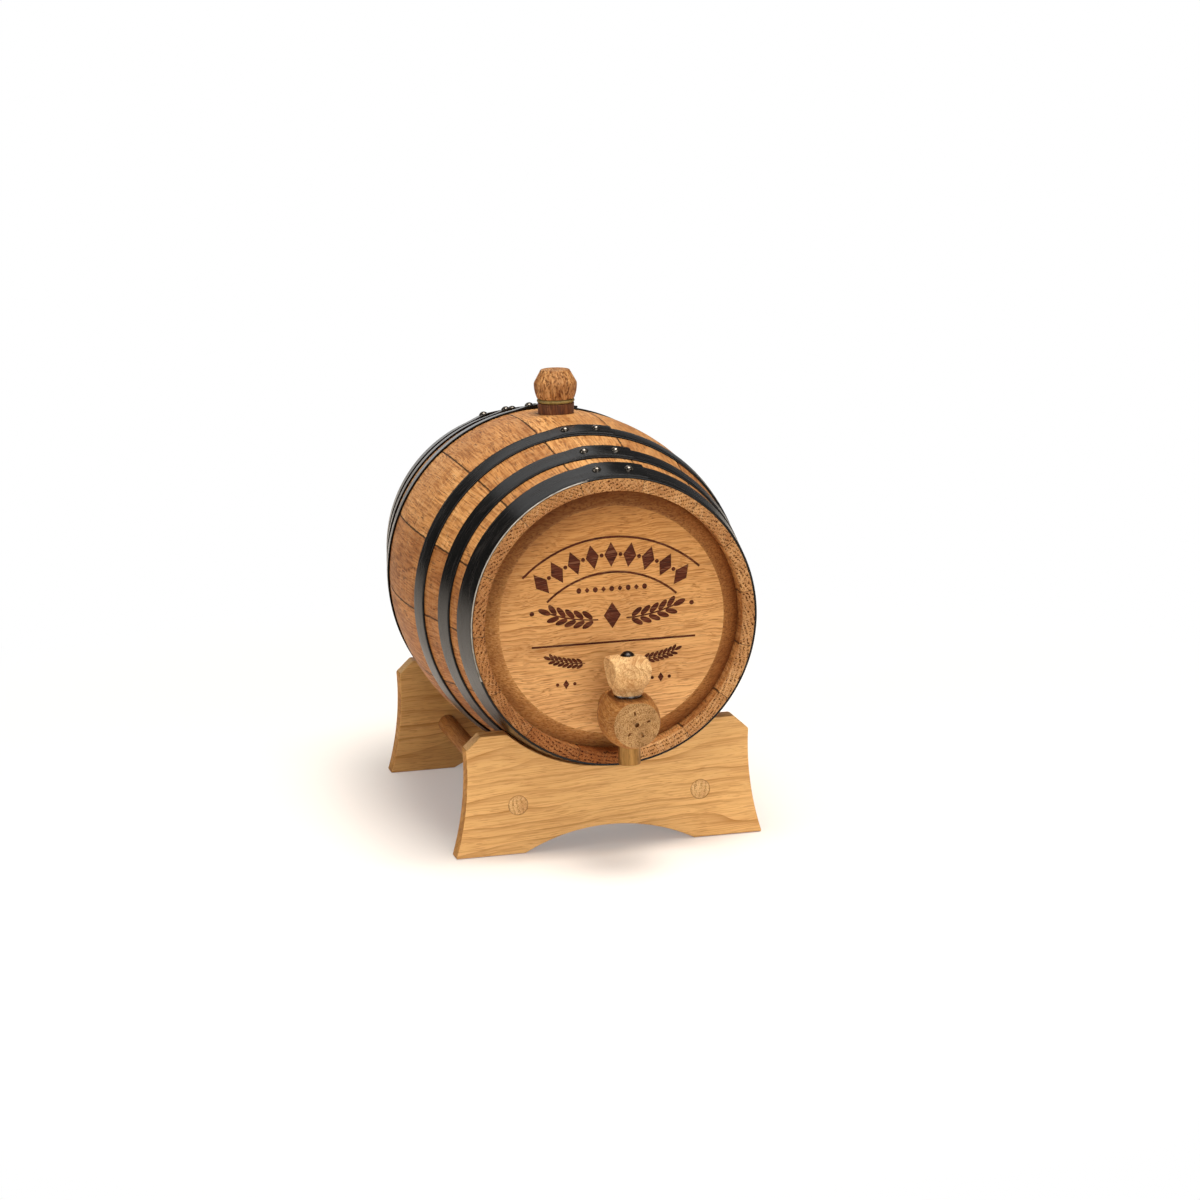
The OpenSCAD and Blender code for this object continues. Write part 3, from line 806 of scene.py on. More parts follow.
@dataclass
class Cask:
    """The barrel of staves with its heads."""

    length: float = 200.0
    bilge_r: float = 79.5
    rim_r: float = 65.0
    arc_half: float = 45.0  # half of the curved middle, between the straight chimes
    wall: float = 8.0
    joint: float = 0.15  # clear gap of a stave joint
    eased: float = 0.3  # rounding of the staves' edges
    chamfer: float = 0.8  # round the inside of a rim
    panel_y: float = 94.5
    bevel_drop: float = 3.5
    panel_r: float = 52.5
    head_t: float = 8.0
    tongue_t: float = 3.5
    fit: float = 0.05  # clearance of a head's tongue in its groove
    chime_r: float = 59.549
    croze_r: float = 61.049
    widths: tuple[int, ...] = (26, 24, 22, 22, 23, 23, 22, 24, 24, 24, 22, 25, 25, 27, 27)
    # how dark each stave is, from 0 for the palest, and how dark its sawn end is
    tones: tuple[float, ...] = (0.05, 0.2, 0.45, 0.1, 0.35, 0.15, 0.4, 0.1, 0.9, 0.5,
                                0.6, 0.5, 0.55, 0.1, 0.35)
    ends: tuple[float, ...] = (0.25, 0.1, 0.2, 0.1, 0.25, 0.1, 0.2, 0.0, 0.85, 0.75,
                               0.55, 0.5, 0.45, 0.35, 0.35)
    bung_y: float = 5.0
    bung_hole: Point = (4.548, 9.545)  # its radius at the axis and the bung's top
    bung_reach: float = 99.949

    def __post_init__(self) -> None:
        """Works out the straight chimes' slope and the bilge's radius."""
        self.slope = (self.bilge_r - self.rim_r) / (self.length / 2 - self.arc_half / 2)
        self.arc_r = self.arc_half / math.sin(math.atan(self.slope))

    def wood_r(self, y: float) -> float:
        """Gives the wood's radius at a place along the cask.

        Args:
            y: the place.

        Returns:
            The radius.
        """
        flat = min(abs(y), self.arc_half)
        bend = self.bilge_r - self.arc_r + math.sqrt(self.arc_r**2 - flat**2)
        return bend - self.slope * max(abs(y) - self.arc_half, 0)

    def lean(self, y: float) -> float:
        """Gives the slope of the wood at a place along it, in radians."""
        chime = math.copysign(math.atan(self.slope), y)
        return math.asin(y / self.arc_r) if abs(y) < self.arc_half else chime

    def starts(self) -> list[float]:
        """Gives each stave's first joint, in degrees to the right of the top."""
        whole, half = sum(self.widths), self.widths[0] / 2
        return [360 * (sum(self.widths[:i]) - half) / whole for i in range(len(self.widths))]

    def section(self) -> list[Point]:
        """Gives the cut through a stave: outside, rim, chime, groove and inside.

        Returns:
            Radius and place of the corners.
        """
        half, edge, rim = self.length / 2, self.chamfer, self.chime_r
        outside = [(self.wood_r(half * i / 14), half * i / 14) for i in range(-14, 15)]
        groove = self.panel_y - self.bevel_drop
        floor = groove - self.tongue_t
        rear = [(rim + edge, half), (rim, half - edge), (rim, groove), (self.croze_r, groove),
                (self.croze_r, floor), (rim, floor), (self.wood_r(floor) - self.wall, floor)]
        inner = floor - 3  # from here on the inside follows the outside
        inside = [(self.wood_r(inner * i / 5) - self.wall, inner * i / 5)
                  for i in range(5, -6, -1)]
        return outside + rear + inside + [(r, -y) for r, y in reversed(rear)]

    def grow(self, mesh: bpy.types.Mesh, middle: float, turn: float, number: int) -> None:
        """Writes where each point lies in its own board, so that the grain bends with it.

        Args:
            mesh: the stave's mesh.
            middle: the turn of its middle, in degrees to the right of the top.
            turn: how far it reaches round the cask, in degrees.
            number: the stave's number, which picks its own part of the pattern.
        """
        places, seams = [], []
        for v in mesh.vertices:
            x, y, z = from_middle(v)
            off = (math.degrees(math.atan2(x, z)) - middle + 180) % 360 - 180
            r = math.hypot(x, z)
            places += [math.radians(off) * r + 90 * number, y + 37 * number,
                       self.wood_r(y) - r + 61 * (7 * number % 5)]
            seams.append(math.radians(turn / 2 - abs(off)) * r)
        write(mesh, "grain", places)
        write(mesh, "seam", seams)
        write(mesh, "tone", [self.tones[number]] * len(seams))
        write(mesh, "end", [self.ends[number]] * len(seams))

    def build_staves(self) -> None:
        """Builds the staves, with the bung hole through the top one."""
        side, end = STAVE_OAK.build(), STAVE_END.build()
        gap = math.degrees(self.joint / self.rim_r)
        for number, start in enumerate(self.starts()):
            turn = 360 * self.widths[number] / sum(self.widths)
            bm = swept(self.section(), 9, turn - gap)
            bmesh.ops.rotate(bm, verts=bm.verts, cent=(0, 0, 0),
                             matrix=Matrix.Rotation(math.radians(start + gap / 2), 3, "Z"))
            ease(bm, self.eased, 50)
            lay_down(bm)
            mark(bm, lambda f: abs(f.normal.y) > 0.5
                 and abs(f.calc_center_median().y - CENTRE_Y) > self.length / 2 - 1)
            name = f"stave_{number + 1:02d}"
            made = mesh_object(bm, name + "_oak", [side, end])
            if number == 0:
                low, high = self.bung_hole
                hole = rod((low, 0), (high, self.bung_reach), 64)
                stand_up(hole, self.bung_y, AXIS_H)
                carve(made, mesh_object(hole, "hole", [side]))
            self.grow(made.data, start + turn / 2, turn, number)
            settle(made, "cask", name)

    def head_profile(self) -> list[Point]:
        """Gives half of a head's cut: panel, bevels and the tongue in its groove.

        Returns:
            Radius and place of the corners, from the inner face to the panel.
        """
        inner, groove = self.panel_y - self.head_t, self.panel_y - self.bevel_drop
        root, tip = self.chime_r - self.fit, self.croze_r - self.fit
        back, face = groove - self.tongue_t + self.fit, groove - self.fit
        return [(0, inner), (self.panel_r, inner), (root, back), (tip, back), (tip, face),
                (root, face), (self.panel_r, self.panel_y), (0, self.panel_y)]

    def build_heads(self, tap_hole: Shape) -> None:
        """Builds both heads and burns the ornament into the front one.

        Args:
            tap_hole: the shape of the hole that the tap is driven into.
        """
        finishes = [HEAD_OAK.build(), BEVEL_OAK.build(), BURNT_OAK.build()]
        bevel_r = self.panel_r - 0.6  # the bevel's eased edge starts here
        for name, side in (("front_head", -1), ("rear_head", 1)):
            bm = turned(self.head_profile(), 144)
            bmesh.ops.scale(bm, verts=bm.verts, vec=(1, 1, side))
            bmesh.ops.recalc_face_normals(bm, faces=bm.faces)
            ease(bm, 0.5, 15)
            lay_down(bm)
            mark(bm, lambda f: math.hypot(f.calc_center_median().x,
                                          f.calc_center_median().z - AXIS_H) > bevel_r)
            made = mesh_object(bm, name + "_oak", finishes)
            if side < 0:
                carve(made, mesh_object(tap_hole, "hole", finishes[:1]))
                burn = Ornament().cutter(self.panel_y)
                carve(made, mesh_object(burn, "burn", finishes))
            self.paint_head_shade(made.data)
            settle(made, "cask", name)

    def paint_head_shade(self, mesh: bpy.types.Mesh) -> None:
        """Writes a head's painted shade: its bevel darker towards the rim and on the right, its
        panel darker towards the top.

        Args:
            mesh: the head's mesh.
        """
        tones, rises = [], []
        for v in mesh.vertices:
            x, _, z = from_middle(v)
            out = max(math.hypot(x, z) - self.panel_r, 0) / (self.chime_r - self.panel_r)
            # painted shade: the bevel darker on its right side and towards the rim
            tones.append(0.34 + 0.28 * math.cos(math.atan2(x, z) - 1.4) + 0.3 * out**2)
            # painted shade: the panel darker towards its top
            rises.append((z + 38) / 120)
        write(mesh, "tone", tones)
        write(mesh, "rise", rises)


@dataclass(frozen=True)
class Hoops:
    """The six hoops of flat iron, whose outer ends lap over the inner ones, and their rivets."""

    cask: Cask
    thick: float = 1.0
    fit: float = 0.05
    eased: float = 0.26
    lap: float = 30.0  # length of the riveted lap
    bend: float = 9.0  # length over which the outer end comes down to the band
    pitch: float = 14.5  # between a lap's two rivets
    rivet_r: float = 2.1
    rivet_h: float = 1.3
    worn_highlit_hoop: str = "hoop_front_end"  # the hoop whose front edge is bare iron on the upper left, pale there as a painted highlight
    # node, middle along the cask, width, and the rivets' place to the right of the top
    places: tuple = (
        ("hoop_front_end", -91.5, 16.0, 2.2), ("hoop_front_quarter", -67.5, 12.0, 2.5),
        ("hoop_front_bilge", -38.0, 11.0, 1.0), ("hoop_rear_bilge", 38.0, 11.0, 2.0),
        ("hoop_rear_quarter", 67.5, 12.0, -3.0), ("hoop_rear_end", 91.5, 16.0, -9.0))

    def band(self, middle: float, width: float, low: float, high: float) -> list[Point]:
        """Gives the cut through a hoop that lies on the wood.

        Args:
            middle: the band's middle.
            width: its width along the cask.
            low: its inside above the wood.
            high: its outside above the wood.

        Returns:
            Radius and place of the corners, all round.
        """
        places = [(y, self.cask.wood_r(y)) for y in
                  (middle + width * (i / 6 - 0.5) for i in range(7))]
        return [(r + high, y) for y, r in places] + [(r + low, y) for y, r in reversed(places)]

    def lap_end(self, middle: float, width: float, shift: float) -> Shape:
        """Makes a hoop's outer end, which lies on the band and is bent down behind the lap.

        Args:
            middle: the hoop's middle.
            width: its width.
            shift: how far to the right of the top the lap lies.

        Returns:
            The lap, in the lathe's frame.
        """
        r, top = self.cask.wood_r(middle), self.fit + self.thick
        cut = self.band(middle, width - 0.2, top - self.thick / 2, top + self.thick)
        lap = swept(cut, 28, math.degrees(self.lap / r))
        for v in lap.verts:
            t = min(max(math.atan2(v.co.y, v.co.x) * r / self.bend, 0), 1)
            sink = 0.9 * self.thick * (1 - t * t * (3 - 2 * t))
            v.co -= Vector((v.co.x, v.co.y, 0)).normalized() * sink
        ease(lap, self.eased, 55)
        turn = Matrix.Rotation((shift - self.lap / 2) / r, 3, "Z")
        bmesh.ops.rotate(lap, verts=lap.verts, cent=(0, 0, 0), matrix=turn)
        return lap

    def rivet(self, middle: float, turn: float) -> Shape:
        """Makes a rivet's hammered dome on a lap.

        Args:
            middle: the hoop's middle.
            turn: the rivet's turn from the top, in radians.

        Returns:
            The rivet, in the lathe's frame.
        """
        base, sunk = self.fit + 2 * self.thick + 0.05, 0.3
        bm = turned([(0, -sunk), (self.rivet_r, -sunk),
                     *dome(self.rivet_r, self.rivet_h, 7)], 28)
        ease(bm, 0.15, 50)
        tilt = math.pi / 2 - self.cask.lean(middle)
        place = (Matrix.Rotation(turn, 4, "Z")
                 @ Matrix.Translation((self.cask.wood_r(middle), 0, middle))
                 @ Matrix.Rotation(tilt, 4, "Y") @ Matrix.Translation((0, 0, base)))
        bmesh.ops.transform(bm, matrix=place, verts=bm.verts)
        return bm

    def build(self) -> None:
        """Builds the hoops and the rivets."""
        iron, edge, rivets = HOOP_IRON.build(), HOOP_EDGE.build(), []
        for name, middle, width, shift in self.places:
            cut = self.band(middle, width, self.fit, self.fit + self.thick)
            ring = turned(cut, 180, closed=True)
            ease(ring, self.eased, 55)
            bm = merged([ring, self.lap_end(middle, width, shift)])
            lay_down(bm)
            # bare front edge on the upper left only, where it serves as a painted highlight
            if name == self.worn_highlit_hoop:
                mark(bm, lambda f: f.normal.y < -0.93 and f.calc_center_median().x < -11
                     and f.calc_center_median().z > AXIS_H - 22)
            made = mesh_object(bm, name + "_band", [iron, edge])
            r, places = self.cask.wood_r(middle), []
            for v in made.data.vertices:
                x, y, z = from_middle(v)
                places += [y, math.atan2(x, z) * r, math.hypot(x, z)]
            write(made.data, "grain", places)
            settle(made, "cask", name)
            rivets += [self.rivet(middle, (shift + side * self.pitch) / r)
                       for side in (-0.5, 0.5)]
        bm = merged(rivets)
        lay_down(bm)
        made = mesh_object(bm, "rivet_heads", [RIVET_IRON.build()])
        settle(made, "cask", "hoop_rivets")


@dataclass
class Ornament:
    """A plain burnt ornament: an arched band of lozenges, barley ears and a rule."""

    depth: float = 0.35
    arch_r: float = 52.0
    arch_low: float = -22.0  # the arch's centre below the head's
    arch_step: float = 9.6  # degrees between its lozenges
    bm: Shape = field(default_factory=bmesh.new)

    def motif(self, sides: int, x: float, z: float, width: float, height: float,
              turn: float = 0.0) -> None:
        """Adds a lozenge, dot or grain to the flat drawing.

        Args:
            sides: 4 for a lozenge, more for a round or a grain.
            x: its place to the right of the axis.
            z: its place above the axis.
            width: its width.
            height: its height.
            turn: how far it leans to the right, in degrees.
        """
        made = bmesh.ops.create_circle(self.bm, cap_ends=True, segments=sides, radius=0.5)
        place = (Matrix.Translation((x, z, 0)) @ Matrix.Rotation(-math.radians(turn), 4, "Z")
                 @ Matrix.Diagonal((width, height, 1, 1)))
        bmesh.ops.transform(self.bm, matrix=place, verts=made["verts"])

    def line(self, centre: Point, radius: float, start: float, end: float,
             thick: float) -> None:
        """Adds a curved line.

        Args:
            centre: the curve's centre.
            radius: its radius.
            start: its first angle in degrees, from the right.
            end: its last angle.
            thick: the line's thickness.
        """
        steps = max(4, round(abs(end - start) / 4))
        outer = arc(centre, radius + thick / 2, start, end, steps)
        draw(self.bm, outer + arc(centre, radius - thick / 2, end, start, steps))

    def ear(self, start: float, end: float, z: float, size: float) -> None:
        """Adds an ear of barley that lies on its side and curls up at its tip.

        Args:
            start: where its stem starts, to the right of the axis.
            end: where its tip is.
            z: the stem's height.
            size: a grain's length.
        """
        way, length = math.copysign(1, end - start), abs(end - start)
        radius = 2.4 * length
        count = max(3, int(length / (0.62 * size)) - 1)
        for i in range(count + 1):
            bend = (i + 1.2) / (count + 1.2) * length / radius
            x = start + way * radius * math.sin(bend)
            y = z + radius * (1 - math.cos(bend))
            lean = 90 - math.degrees(bend)
            if i == count:
                self.motif(14, x, y, 0.42 * size, size, way * lean)
                continue
            for side in (-1, 1):
                self.motif(14, x - side * 0.05, y + side * 0.36 * size, 0.40 * size,
                           0.95 * size, way * (lean - side * 34))
        span = way * math.degrees(0.93 * length / radius)
        self.line((start, z + radius), radius, 270, 270 + span, 0.09 * size + 0.12)

    def cutter(self, panel_y: float) -> Shape:
        """Draws the ornament and raises it to a shape that cuts into the head.

        Args:
            panel_y: the panel's place along the cask.

        Returns:
            The cutting shape, in the row frame.
        """
        for i in range(-4, 5):
            for turn, sides, width, height in ((self.arch_step * i, 4, 6.2, 11.4),
                                               (self.arch_step * (i + 0.5), 12, 1.9, 1.9)):
                if sides == 12 and i == 4:
                    continue  # a dot stands between two lozenges
                x = self.arch_r * math.sin(math.radians(turn))
                z = self.arch_low + self.arch_r * math.cos(math.radians(turn))
                self.motif(sides, x, z, width, height, turn if sides == 4 else 0)
        for offset in (-8.0, 8.0):
            self.line((0, self.arch_low), self.arch_r + offset, 47, 133, 1.0)
        for i in range(-4, 5):
            self.motif(4 if i % 2 else 12, 3.8 * i, 14.4, 2.3, 2.6)
        self.motif(4, 0, 2.2, 8.0, 12.0)
        for side in (-1, 1):
            self.ear(side * 6.5, side * 32.0, 0.6, 6.2)
            self.motif(12, side * 37.0, 5.4, 2.2, 2.2)
            self.ear(side * 13.0, side * 31.0, -19.0, 3.6)
            self.motif(4, side * 22.0, -28.0, 2.8, 4.4)
            for i in (-1, 1):
                self.motif(12, side * 22.0 + 4.0 * i, -28.0, 1.6, 1.6)
        draw(self.bm, [(-37.5, -10.5), (38.5, -10.5), (38.5, -9.6), (-37.5, -9.6)])
        raise_up(self.bm, self.depth + 1)
        place = (Matrix.Translation((0, CENTRE_Y - panel_y + self.depth, AXIS_H))
                 @ Matrix.Rotation(math.pi / 2, 4, "X"))
        bmesh.ops.transform(self.bm, matrix=place, verts=self.bm.verts)
        for face in self.bm.faces:
            face.material_index = 2
        return self.bm


# --------------------------------------------------------------- bung, tap, key


@dataclass(frozen=True)
class Bung:
    """The turned stopper and the seal in its neck."""

    y: float = 5.0
    foot: float = 69.949  # heights above the cask's axis
    neck: float = 84.349
    bulb: float = 86.249
    widest: float = 93.049
    cone: float = 93.749
    top: float = 99.949
    plug_r: float = 8.7
    neck_r: float = 7.5
    bulb_r: float = 10.2
    top_r: float = 6.8
    taper: float = 0.05
    ring_r: float = 8.9
    ring_half: float = 0.87  # half of the seal's height
    ring_root: float = 7.65
    ring_rough: float = 0.16  # how far its surface goes up and down

    def build(self) -> None:
        """Builds the stopper and its seal."""
        foot_r = self.plug_r - self.taper * (self.neck - self.foot)
        fall, drop = self.widest - self.bulb, self.bulb_r - self.plug_r
        bend = (fall**2 + drop**2) / (2 * drop)
        start, end = (math.degrees(math.asin((z - self.widest) / bend))
                      for z in (self.bulb, self.cone))
        bm = turned([(0, self.foot), (foot_r, self.foot), (self.plug_r, self.neck),
                     (self.neck_r, self.neck), (self.neck_r, self.bulb),
                     *arc((self.bulb_r - bend, self.widest), bend, start, end, 14),
                     (self.top_r, self.top), (0, self.top)], 72)
        ease(bm, 0.45, 20, 3)
        stand_up(bm, self.y, AXIS_H)
        mark(bm, lambda f: f.calc_center_median().z < AXIS_H + self.neck + 0.5)
        made = mesh_object(bm, "bung_stopper", [BUNG_WOOD.build(), SOAKED_WOOD.build()])
        settle(made, "bung", "bung")

        middle, half = (self.neck + self.bulb) / 2, self.ring_half
        ring = turned([(self.ring_root, middle + half), (self.ring_root, middle - half),
                       *arc((self.ring_r - half, middle), half, -90, 90, 10)], 120, closed=True)
        for v in ring.verts:
            lump = noise.fractal(v.co * 0.9, 0.8, 2.0, 3)
            v.co += Vector((v.co.x, v.co.y, 0)).normalized() * self.ring_rough * lump
        stand_up(ring, self.y, AXIS_H)
        made = mesh_object(ring, "bung_seal", [SEAL_RUBBER.build()])
        settle(made, "bung", "bung_ring", 60)


@dataclass(frozen=True)
class Tap:
    """The turned barrel with its driven shank, and the key that turns in it."""

    drop: float = 39.0  # its axis below the cask's
    face: float = -134.5
    barrel: float = 29.0
    face_r: float = 10.4
    barrel_r: float = 13.3
    centre_hole: Point = (1.05, 3.0)  # the lathe's: radius and depth
    tool_marks: tuple[float, ...] = (14, 100, 228, 296)  # turns round the face
    mark_size: tuple[float, float, float] = (1.7, 2.0, 0.9)
    mark_r: float = 5.4
    shank_r: float = 7.5
    shank_taper: float = 0.03  # radius lost per millimetre
    panel_y: float = -94.5
    shank_end: float = -75.5
    seat: float = 9.8  # the flat seat above the tap's axis
    key_y: float = -120.0  # the key's axis along the cask
    key_z: float = 80.603  # heights from here on are in the row frame
    key_h: float = 17.4
    key_r: float = 12.5
    key_half: float = 8.2  # half of the width between the sawn flats
    stem_low: float = 48.503
    stem_r: float = 5.0
    bore_r: float = 3.5
    bore_top: float = 73.0
    sleeve_r: float = 6.25
    washer: Point = (5.1, 6.2)  # its inner and outer radius
    washer_t: float = 1.2
    screw_r: float = 3.2
    screw_h: float = 1.8
    gap: float = 0.05  # clearance over the seat and under the handle

    def shank(self, y: float) -> float:
        """Gives the shank's radius at a place along the cask."""
        return self.shank_r - self.shank_taper * (y - self.panel_y)

    def hole(self) -> Shape:
        """Makes the shape of the hole in the head.

        Returns:
            The shape, in the row frame.
        """
        front, rear = self.panel_y - 9.5, self.panel_y + 34.5
        bm = rod((self.shank(front), front), (self.shank(rear), rear), 64)
        lay_down(bm, self.drop)
        return bm

    def build_body(self) -> None:
        """Builds the tap's barrel, with its seat, the key's hole and the lathe's marks."""
        neck, root = self.face + self.barrel, self.shank(self.panel_y)
        hole_r, hole_h = self.centre_hole
        side = between((self.face_r, self.face), (self.face_r, neck),
                       self.barrel_r - self.face_r, 20)
        bm = turned([(0, self.face + hole_h), (hole_r, self.face + hole_h),
                     (hole_r, self.face), *side, (self.face_r - 1, neck + 0.8),
                     (root + 0.7, neck + 2.6), (root, neck + 4.2), (root, self.panel_y - 3),
                     (self.shank(self.shank_end), self.shank_end), (0, self.shank_end)], 72)
        slice_off(bm, self.seat * ACROSS, ACROSS)
        ease(bm, 0.45, 40, 3)
        lay_down(bm, self.drop)
        mark(bm, lambda f: f.normal.y < -0.55)
        finish = TAP_WOOD.build()
        made = mesh_object(bm, "tap_barrel", [finish, TAP_END.build()])
        cuts = [bmesh.new()]
        bmesh.ops.create_cone(cuts[0], cap_ends=True, segments=64, radius1=self.sleeve_r,
                              radius2=self.sleeve_r, depth=60)
        stand_up(cuts[0], self.key_y, AXIS_H - self.drop)
        for turn in self.tool_marks:
            place = (Matrix.Translation((0, CENTRE_Y + self.face, AXIS_H - self.drop))
                     @ Matrix.Rotation(-math.radians(turn), 4, "Y")
                     @ Matrix.Translation((self.mark_r, 0, 0)))
            cuts.append(block(self.mark_size, place))
        carve(made, mesh_object(merged(cuts), "holes", [finish]))
        settle(made, "cask", "tap_body")
        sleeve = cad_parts["tap_cork"].data.materials
        sleeve.clear()
        sleeve.append(CORK.build())

    def build_key(self) -> None:
        """Builds the key's handle, stem, washer and screw."""
        reach, crown_r = self.key_r + 1.0, 24.0
        low = between((7.0, 2.2), (reach - 0.4, 10.6), 0.35, 6)
        crown = arc((0, self.key_h - crown_r), crown_r, 68, 90, 8)
        bm = turned([(0, 0), (6.7, 0), *low, (reach, 12.6), (reach - 1.6, 15.2), *crown], 72)
        for way, far in ((ACROSS, self.key_half), (ALONG, self.key_r - 0.1)):
            for side in (-1, 1):
                slice_off(bm, side * far * way, side * way)
        ease(bm, 0.8, 32, 3)
        stand_up(bm, self.key_y, self.key_z)
        made = mesh_object(bm, "key_knob", [KEY_WOOD.build()])
        settle(made, "key", "key_handle")

        top = self.key_z - self.gap
        bm = turned([(0, self.bore_top), (self.bore_r, self.bore_top),
                     (self.bore_r, self.stem_low), (self.stem_r, self.stem_low),
                     (self.stem_r, top), (0, top)], 64)
        ease(bm, 0.2, 50)
        stand_up(bm, self.key_y)
        settle(mesh_object(bm, "key_spout", [BRASS.build()]), "key", "key_stem")

        low, (inner, outer) = AXIS_H - self.drop + self.seat + self.gap, self.washer
        high = low + self.washer_t
        bm = turned([(inner, low), (outer, low), (outer, high), (inner, high)], 64, closed=True)
        ease(bm, 0.2, 50)
        stand_up(bm, self.key_y)
        made = mesh_object(bm, "key_washer_ring", [WASHER_STEEL.build()])
        settle(made, "key", "key_washer")

        finish, top = SCREW_STEEL.build(), self.key_z + self.key_h
        bm = turned([(0, -2), (1.5, -2), (1.5, 0), *dome(self.screw_r, self.screw_h, 8)], 48)
        stand_up(bm, self.key_y, top)
        made = mesh_object(bm, "key_screw_head", [finish])
        slot = block((4 * self.screw_r, 1.0, 1.2), Matrix())
        stand_up(slot, self.key_y, top + self.screw_h)
        carve(made, mesh_object(slot, "slot", [finish]))
        settle(made, "key", "key_screw")


# -------------------------------------------------------------------- the stand


@dataclass(frozen=True)
class Stand:
    """Two sawn cradle boards on two dowels, with heights above the table."""

    thick: float = 9.0
    outer: float = 83.0  # a board's outer face, from the cask's middle
    height: float = 56.5
    foot_w: float = 145.0
    waist_w: float = 132.6
    waist_h: float = 41.0
    corner_w: float = 7.0
    corner_h: float = 6.5
    arch_w: float = 80.0
    arch_h: float = 10.0
    cradle_r: float = 70.203
    dowel_r: float = 4.5
    dowel_x: float = 43.0
    dowel_z: float = 23.0
    dowel_fit: float = 0.12
    eased: float = 0.7

    def half_outline(self) -> list[Point]:
        """Gives the right half of a board's outline, from the arch to the cradle.

        Returns:
            Points to the right of the middle, and their heights.
        """
        arch_r = ((self.arch_w / 2) ** 2 + self.arch_h**2) / (2 * self.arch_h)
        arch_turn = math.degrees(math.acos(self.arch_w / 2 / arch_r))
        drop = (self.foot_w - self.waist_w) / 2
        waist_r = (self.waist_h**2 + drop**2) / (2 * drop)
        shoulder = self.height - self.corner_h
        foot_turn = 180 + math.degrees(math.asin(self.waist_h / waist_r))
        top_turn = 180 - math.degrees(math.asin((shoulder - self.waist_h) / waist_r))
        waist = arc((self.waist_w / 2 + waist_r, self.waist_h), waist_r, foot_turn, top_turn, 24)
        rim_turn = math.degrees(math.asin((AXIS_H - self.height) / self.cradle_r))
        return [*arc((0, self.arch_h - arch_r), arch_r, 90, arch_turn, 18), *waist,
                (waist[-1][0] - self.corner_w, self.height),
                *arc((0, AXIS_H), self.cradle_r, -rim_turn, -90, 36)]

    def build(self) -> None:
        """Builds the boards and the dowels."""
        side, end, drop = STAND_WOOD.build(), STAND_END.build(), AXIS_H - self.dowel_z
        right = self.half_outline()
        left = [(-x, z) for x, z in reversed(right[1:-1])]
        hole_r = self.dowel_r + self.dowel_fit
        for name, front in (("front", -self.outer), ("rear", self.outer - self.thick)):
            bm = bmesh.new()
            draw(bm, right + left)
            raise_up(bm, self.thick)
            place = (Matrix.Translation((0, CENTRE_Y + front + self.thick, 0))
                     @ Matrix.Rotation(math.pi / 2, 4, "X"))
            bmesh.ops.transform(bm, matrix=place, verts=bm.verts)
            ease(bm, self.eased, 30)
            mark(bm, lambda f: abs(f.normal.x) > 0.75)
            made = mesh_object(bm, f"stand_{name}_plank", [side, end])
            holes = []
            for x in (-self.dowel_x, self.dowel_x):
                holes.append(rod((hole_r, front - 5), (hole_r, front + self.thick + 5), 48))
                lay_down(holes[-1], drop, x)
            carve(made, mesh_object(merged(holes), "holes", [side]))
            settle(made, "stand", f"stand_{name}_board")
        finishes, reach = [DOWEL_WOOD.build(), DOWEL_END.build()], self.outer - 0.05
        for name, x in (("left", -self.dowel_x), ("right", self.dowel_x)):
            bm = rod((self.dowel_r, -reach), (self.dowel_r, reach), 48)
            ease(bm, 0.25, 50)
            lay_down(bm, drop, x)
            mark(bm, lambda f: abs(f.normal.y) > 0.7)
            made = mesh_object(bm, f"stand_{name}_rod", finishes)
            settle(made, "stand", f"stand_{name}_dowel")


# ------------------------------------------------------------------- the studio


@dataclass(frozen=True)
class Lamp:
    """A soft lamp that faces the cask."""

    name: str
    place: tuple[float, float, float]  # metres, in the row frame
    size: tuple[float, float]  # its width and height
    power: float

    def build(self) -> None:
        """Hangs the lamp."""
        data = bpy.data.lights.new(self.name, "AREA")
        data.shape, data.energy = "RECTANGLE", self.power
        data.size, data.size_y = self.size
        lamp = bpy.data.objects.new(self.name, data)
        aim = Vector((0, 0.02, 0.09)) - Vector(self.place)
        lamp.location = self.place
        lamp.rotation_euler = aim.to_track_quat("-Z", "Y").to_euler()
        bpy.context.scene.collection.objects.link(lamp)


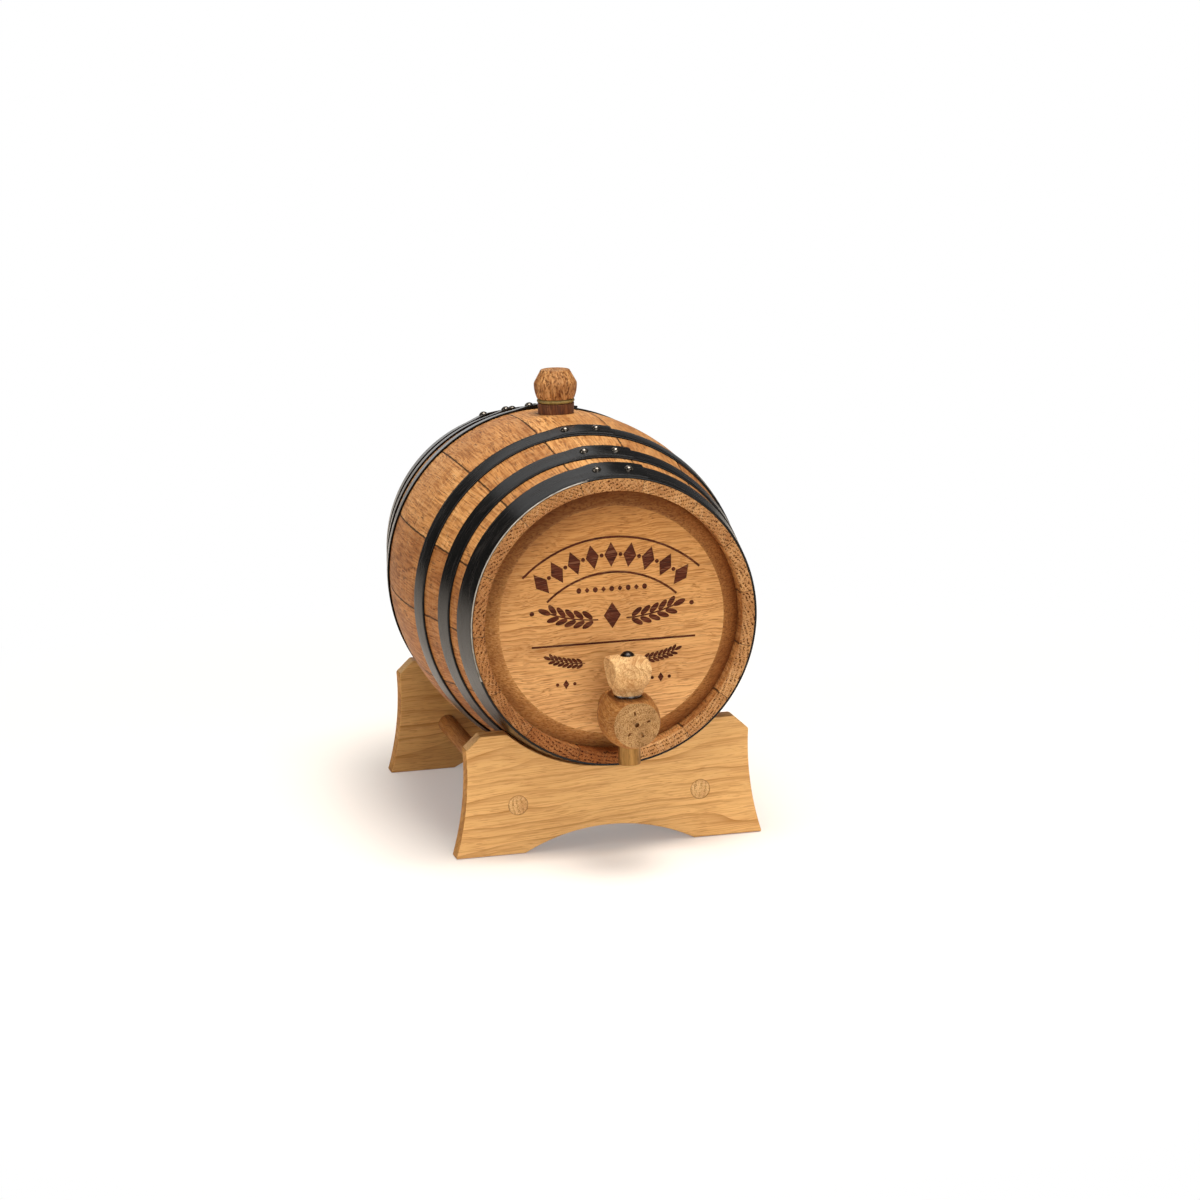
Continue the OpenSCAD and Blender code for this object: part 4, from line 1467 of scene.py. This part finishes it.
@dataclass(frozen=True)
class Studio:
    """The camera at the photograph's angle, the lamps, the floor and the backdrop."""

    azimuth: float = -14.11
    rise: float = 12.26
    roll: float = -1.23
    distance: float = 1573.19
    target: tuple[float, float, float] = (18.21, CENTRE_Y, 96.89)
    lens: float = 98.75
    lamps: tuple[Lamp, ...] = (
        Lamp("overhead lamp", (0.15, -0.26, 1.7), (0.9, 0.9), 33),
        Lamp("front lamp", (0.25, -1.9, 0.10), (1.0, 1.0), 20),
        Lamp("strip lamp", (-1.3, -0.35, 0.5), (0.10, 1.0), 4),
        Lamp("rear lamp", (-0.15, 1.35, 1.2), (1.2, 0.4), 1.6),
    )
    ambient: float = 0.28
    mirrored: float = 0.06  # brightness of the dim room in glossy surfaces
    paper: tuple[float, ...] = (0.97, 0.87, 0.76, 1)
    floor_lift: float = 0.22  # share of plain white in the floor beside the stand

    def place_camera(self) -> None:
        """Places the camera."""
        a, e, roll = (math.radians(d) for d in (self.azimuth, self.rise, self.roll))
        back = Vector((math.sin(a) * math.cos(e), -math.cos(a) * math.cos(e), math.sin(e)))
        right = Vector((math.cos(a), math.sin(a), 0))
        up = back.cross(right)
        rolled = (right * math.cos(roll) + up * math.sin(roll),
                  up * math.cos(roll) - right * math.sin(roll), back)
        data = bpy.data.cameras.new("camera")
        data.lens, data.sensor_width = self.lens, 36
        data.clip_start, data.clip_end = 0.05, 50
        camera = bpy.data.objects.new("camera", data)
        spot = (Vector(self.target) + back * self.distance) * MM
        camera.matrix_world = Matrix.Translation(spot) @ Matrix(rolled).transposed().to_4x4()
        bpy.context.scene.collection.objects.link(camera)
        bpy.context.scene.camera = camera

    def light_world(self) -> None:
        """Makes the surroundings: soft light, and white where the camera sees them."""
        world = bpy.data.worlds.new("studio")
        world.use_nodes = True
        world.node_tree.nodes.clear()
        add = partial(add_node, world.node_tree)
        # glossy surfaces see the white backdrop behind the cask and a dim room elsewhere
        rearward = add("SeparateXYZ", (add("TexCoord", out="Generated"),), "Y")
        mirrored = add("MapRange", (rearward, 0.88, 0.98, self.mirrored, 1.0),
                       interpolation_type="SMOOTHSTEP")
        strength = add("Mix", {0: add("LightPath", out="Is Glossy Ray"), 2: self.ambient,
                               3: mirrored}, data_type="FLOAT")
        strength = add("Math", (strength, add("LightPath", out="Is Camera Ray")),
                       operation="MAXIMUM")
        glow = add("Background", {"Color": (1, 1, 1, 1), "Strength": strength})
        add("OutputWorld", {"Surface": glow})
        bpy.context.scene.world = world

    def lay_floor(self) -> None:
        """Lays the pale floor, which fades to the white backdrop."""
        bm = bmesh.new()
        bmesh.ops.create_grid(bm, x_segments=2, y_segments=2, size=4000)
        bmesh.ops.translate(bm, verts=bm.verts, vec=(0, 0, -0.2))
        material, add = new_material("matt white paper")
        far = add("VectorMath", (add("TexCoord", out="Object"),), "Value", operation="LENGTH")
        fade = add("MapRange", (far, 0.18, 0.5, self.floor_lift, 1.0),
                   interpolation_type="SMOOTHSTEP")
        lift = add("Math", (fade, add("LightPath", out="Is Camera Ray")),
                   operation="MULTIPLY")
        paper = add("BsdfDiffuse", {"Color": self.paper})
        white = add("Emission", {"Color": (1, 1, 1, 1), "Strength": 1.0})
        add("OutputMaterial", {"Surface": add("MixShader", (lift, paper, white))})
        mesh_object(bm, "floor", [material])

    def build(self) -> None:
        """Sets up the studio."""
        self.place_camera()
        self.light_world()
        for lamp in self.lamps:
            lamp.build()
        self.lay_floor()
        bpy.context.scene.view_settings.view_transform = "Standard"


def main() -> None:
    """Builds every sub-assembly in order."""
    logging.basicConfig(level=logging.INFO, format="%(name)s: %(message)s")
    Studio().build()
    cask, tap = Cask(), Tap()
    cask.build_staves()
    cask.build_heads(tap.hole())
    Hoops(cask).build()
    Bung().build()
    tap.build_body()
    tap.build_key()
    Stand().build()


if __name__ == "__main__":
    main()
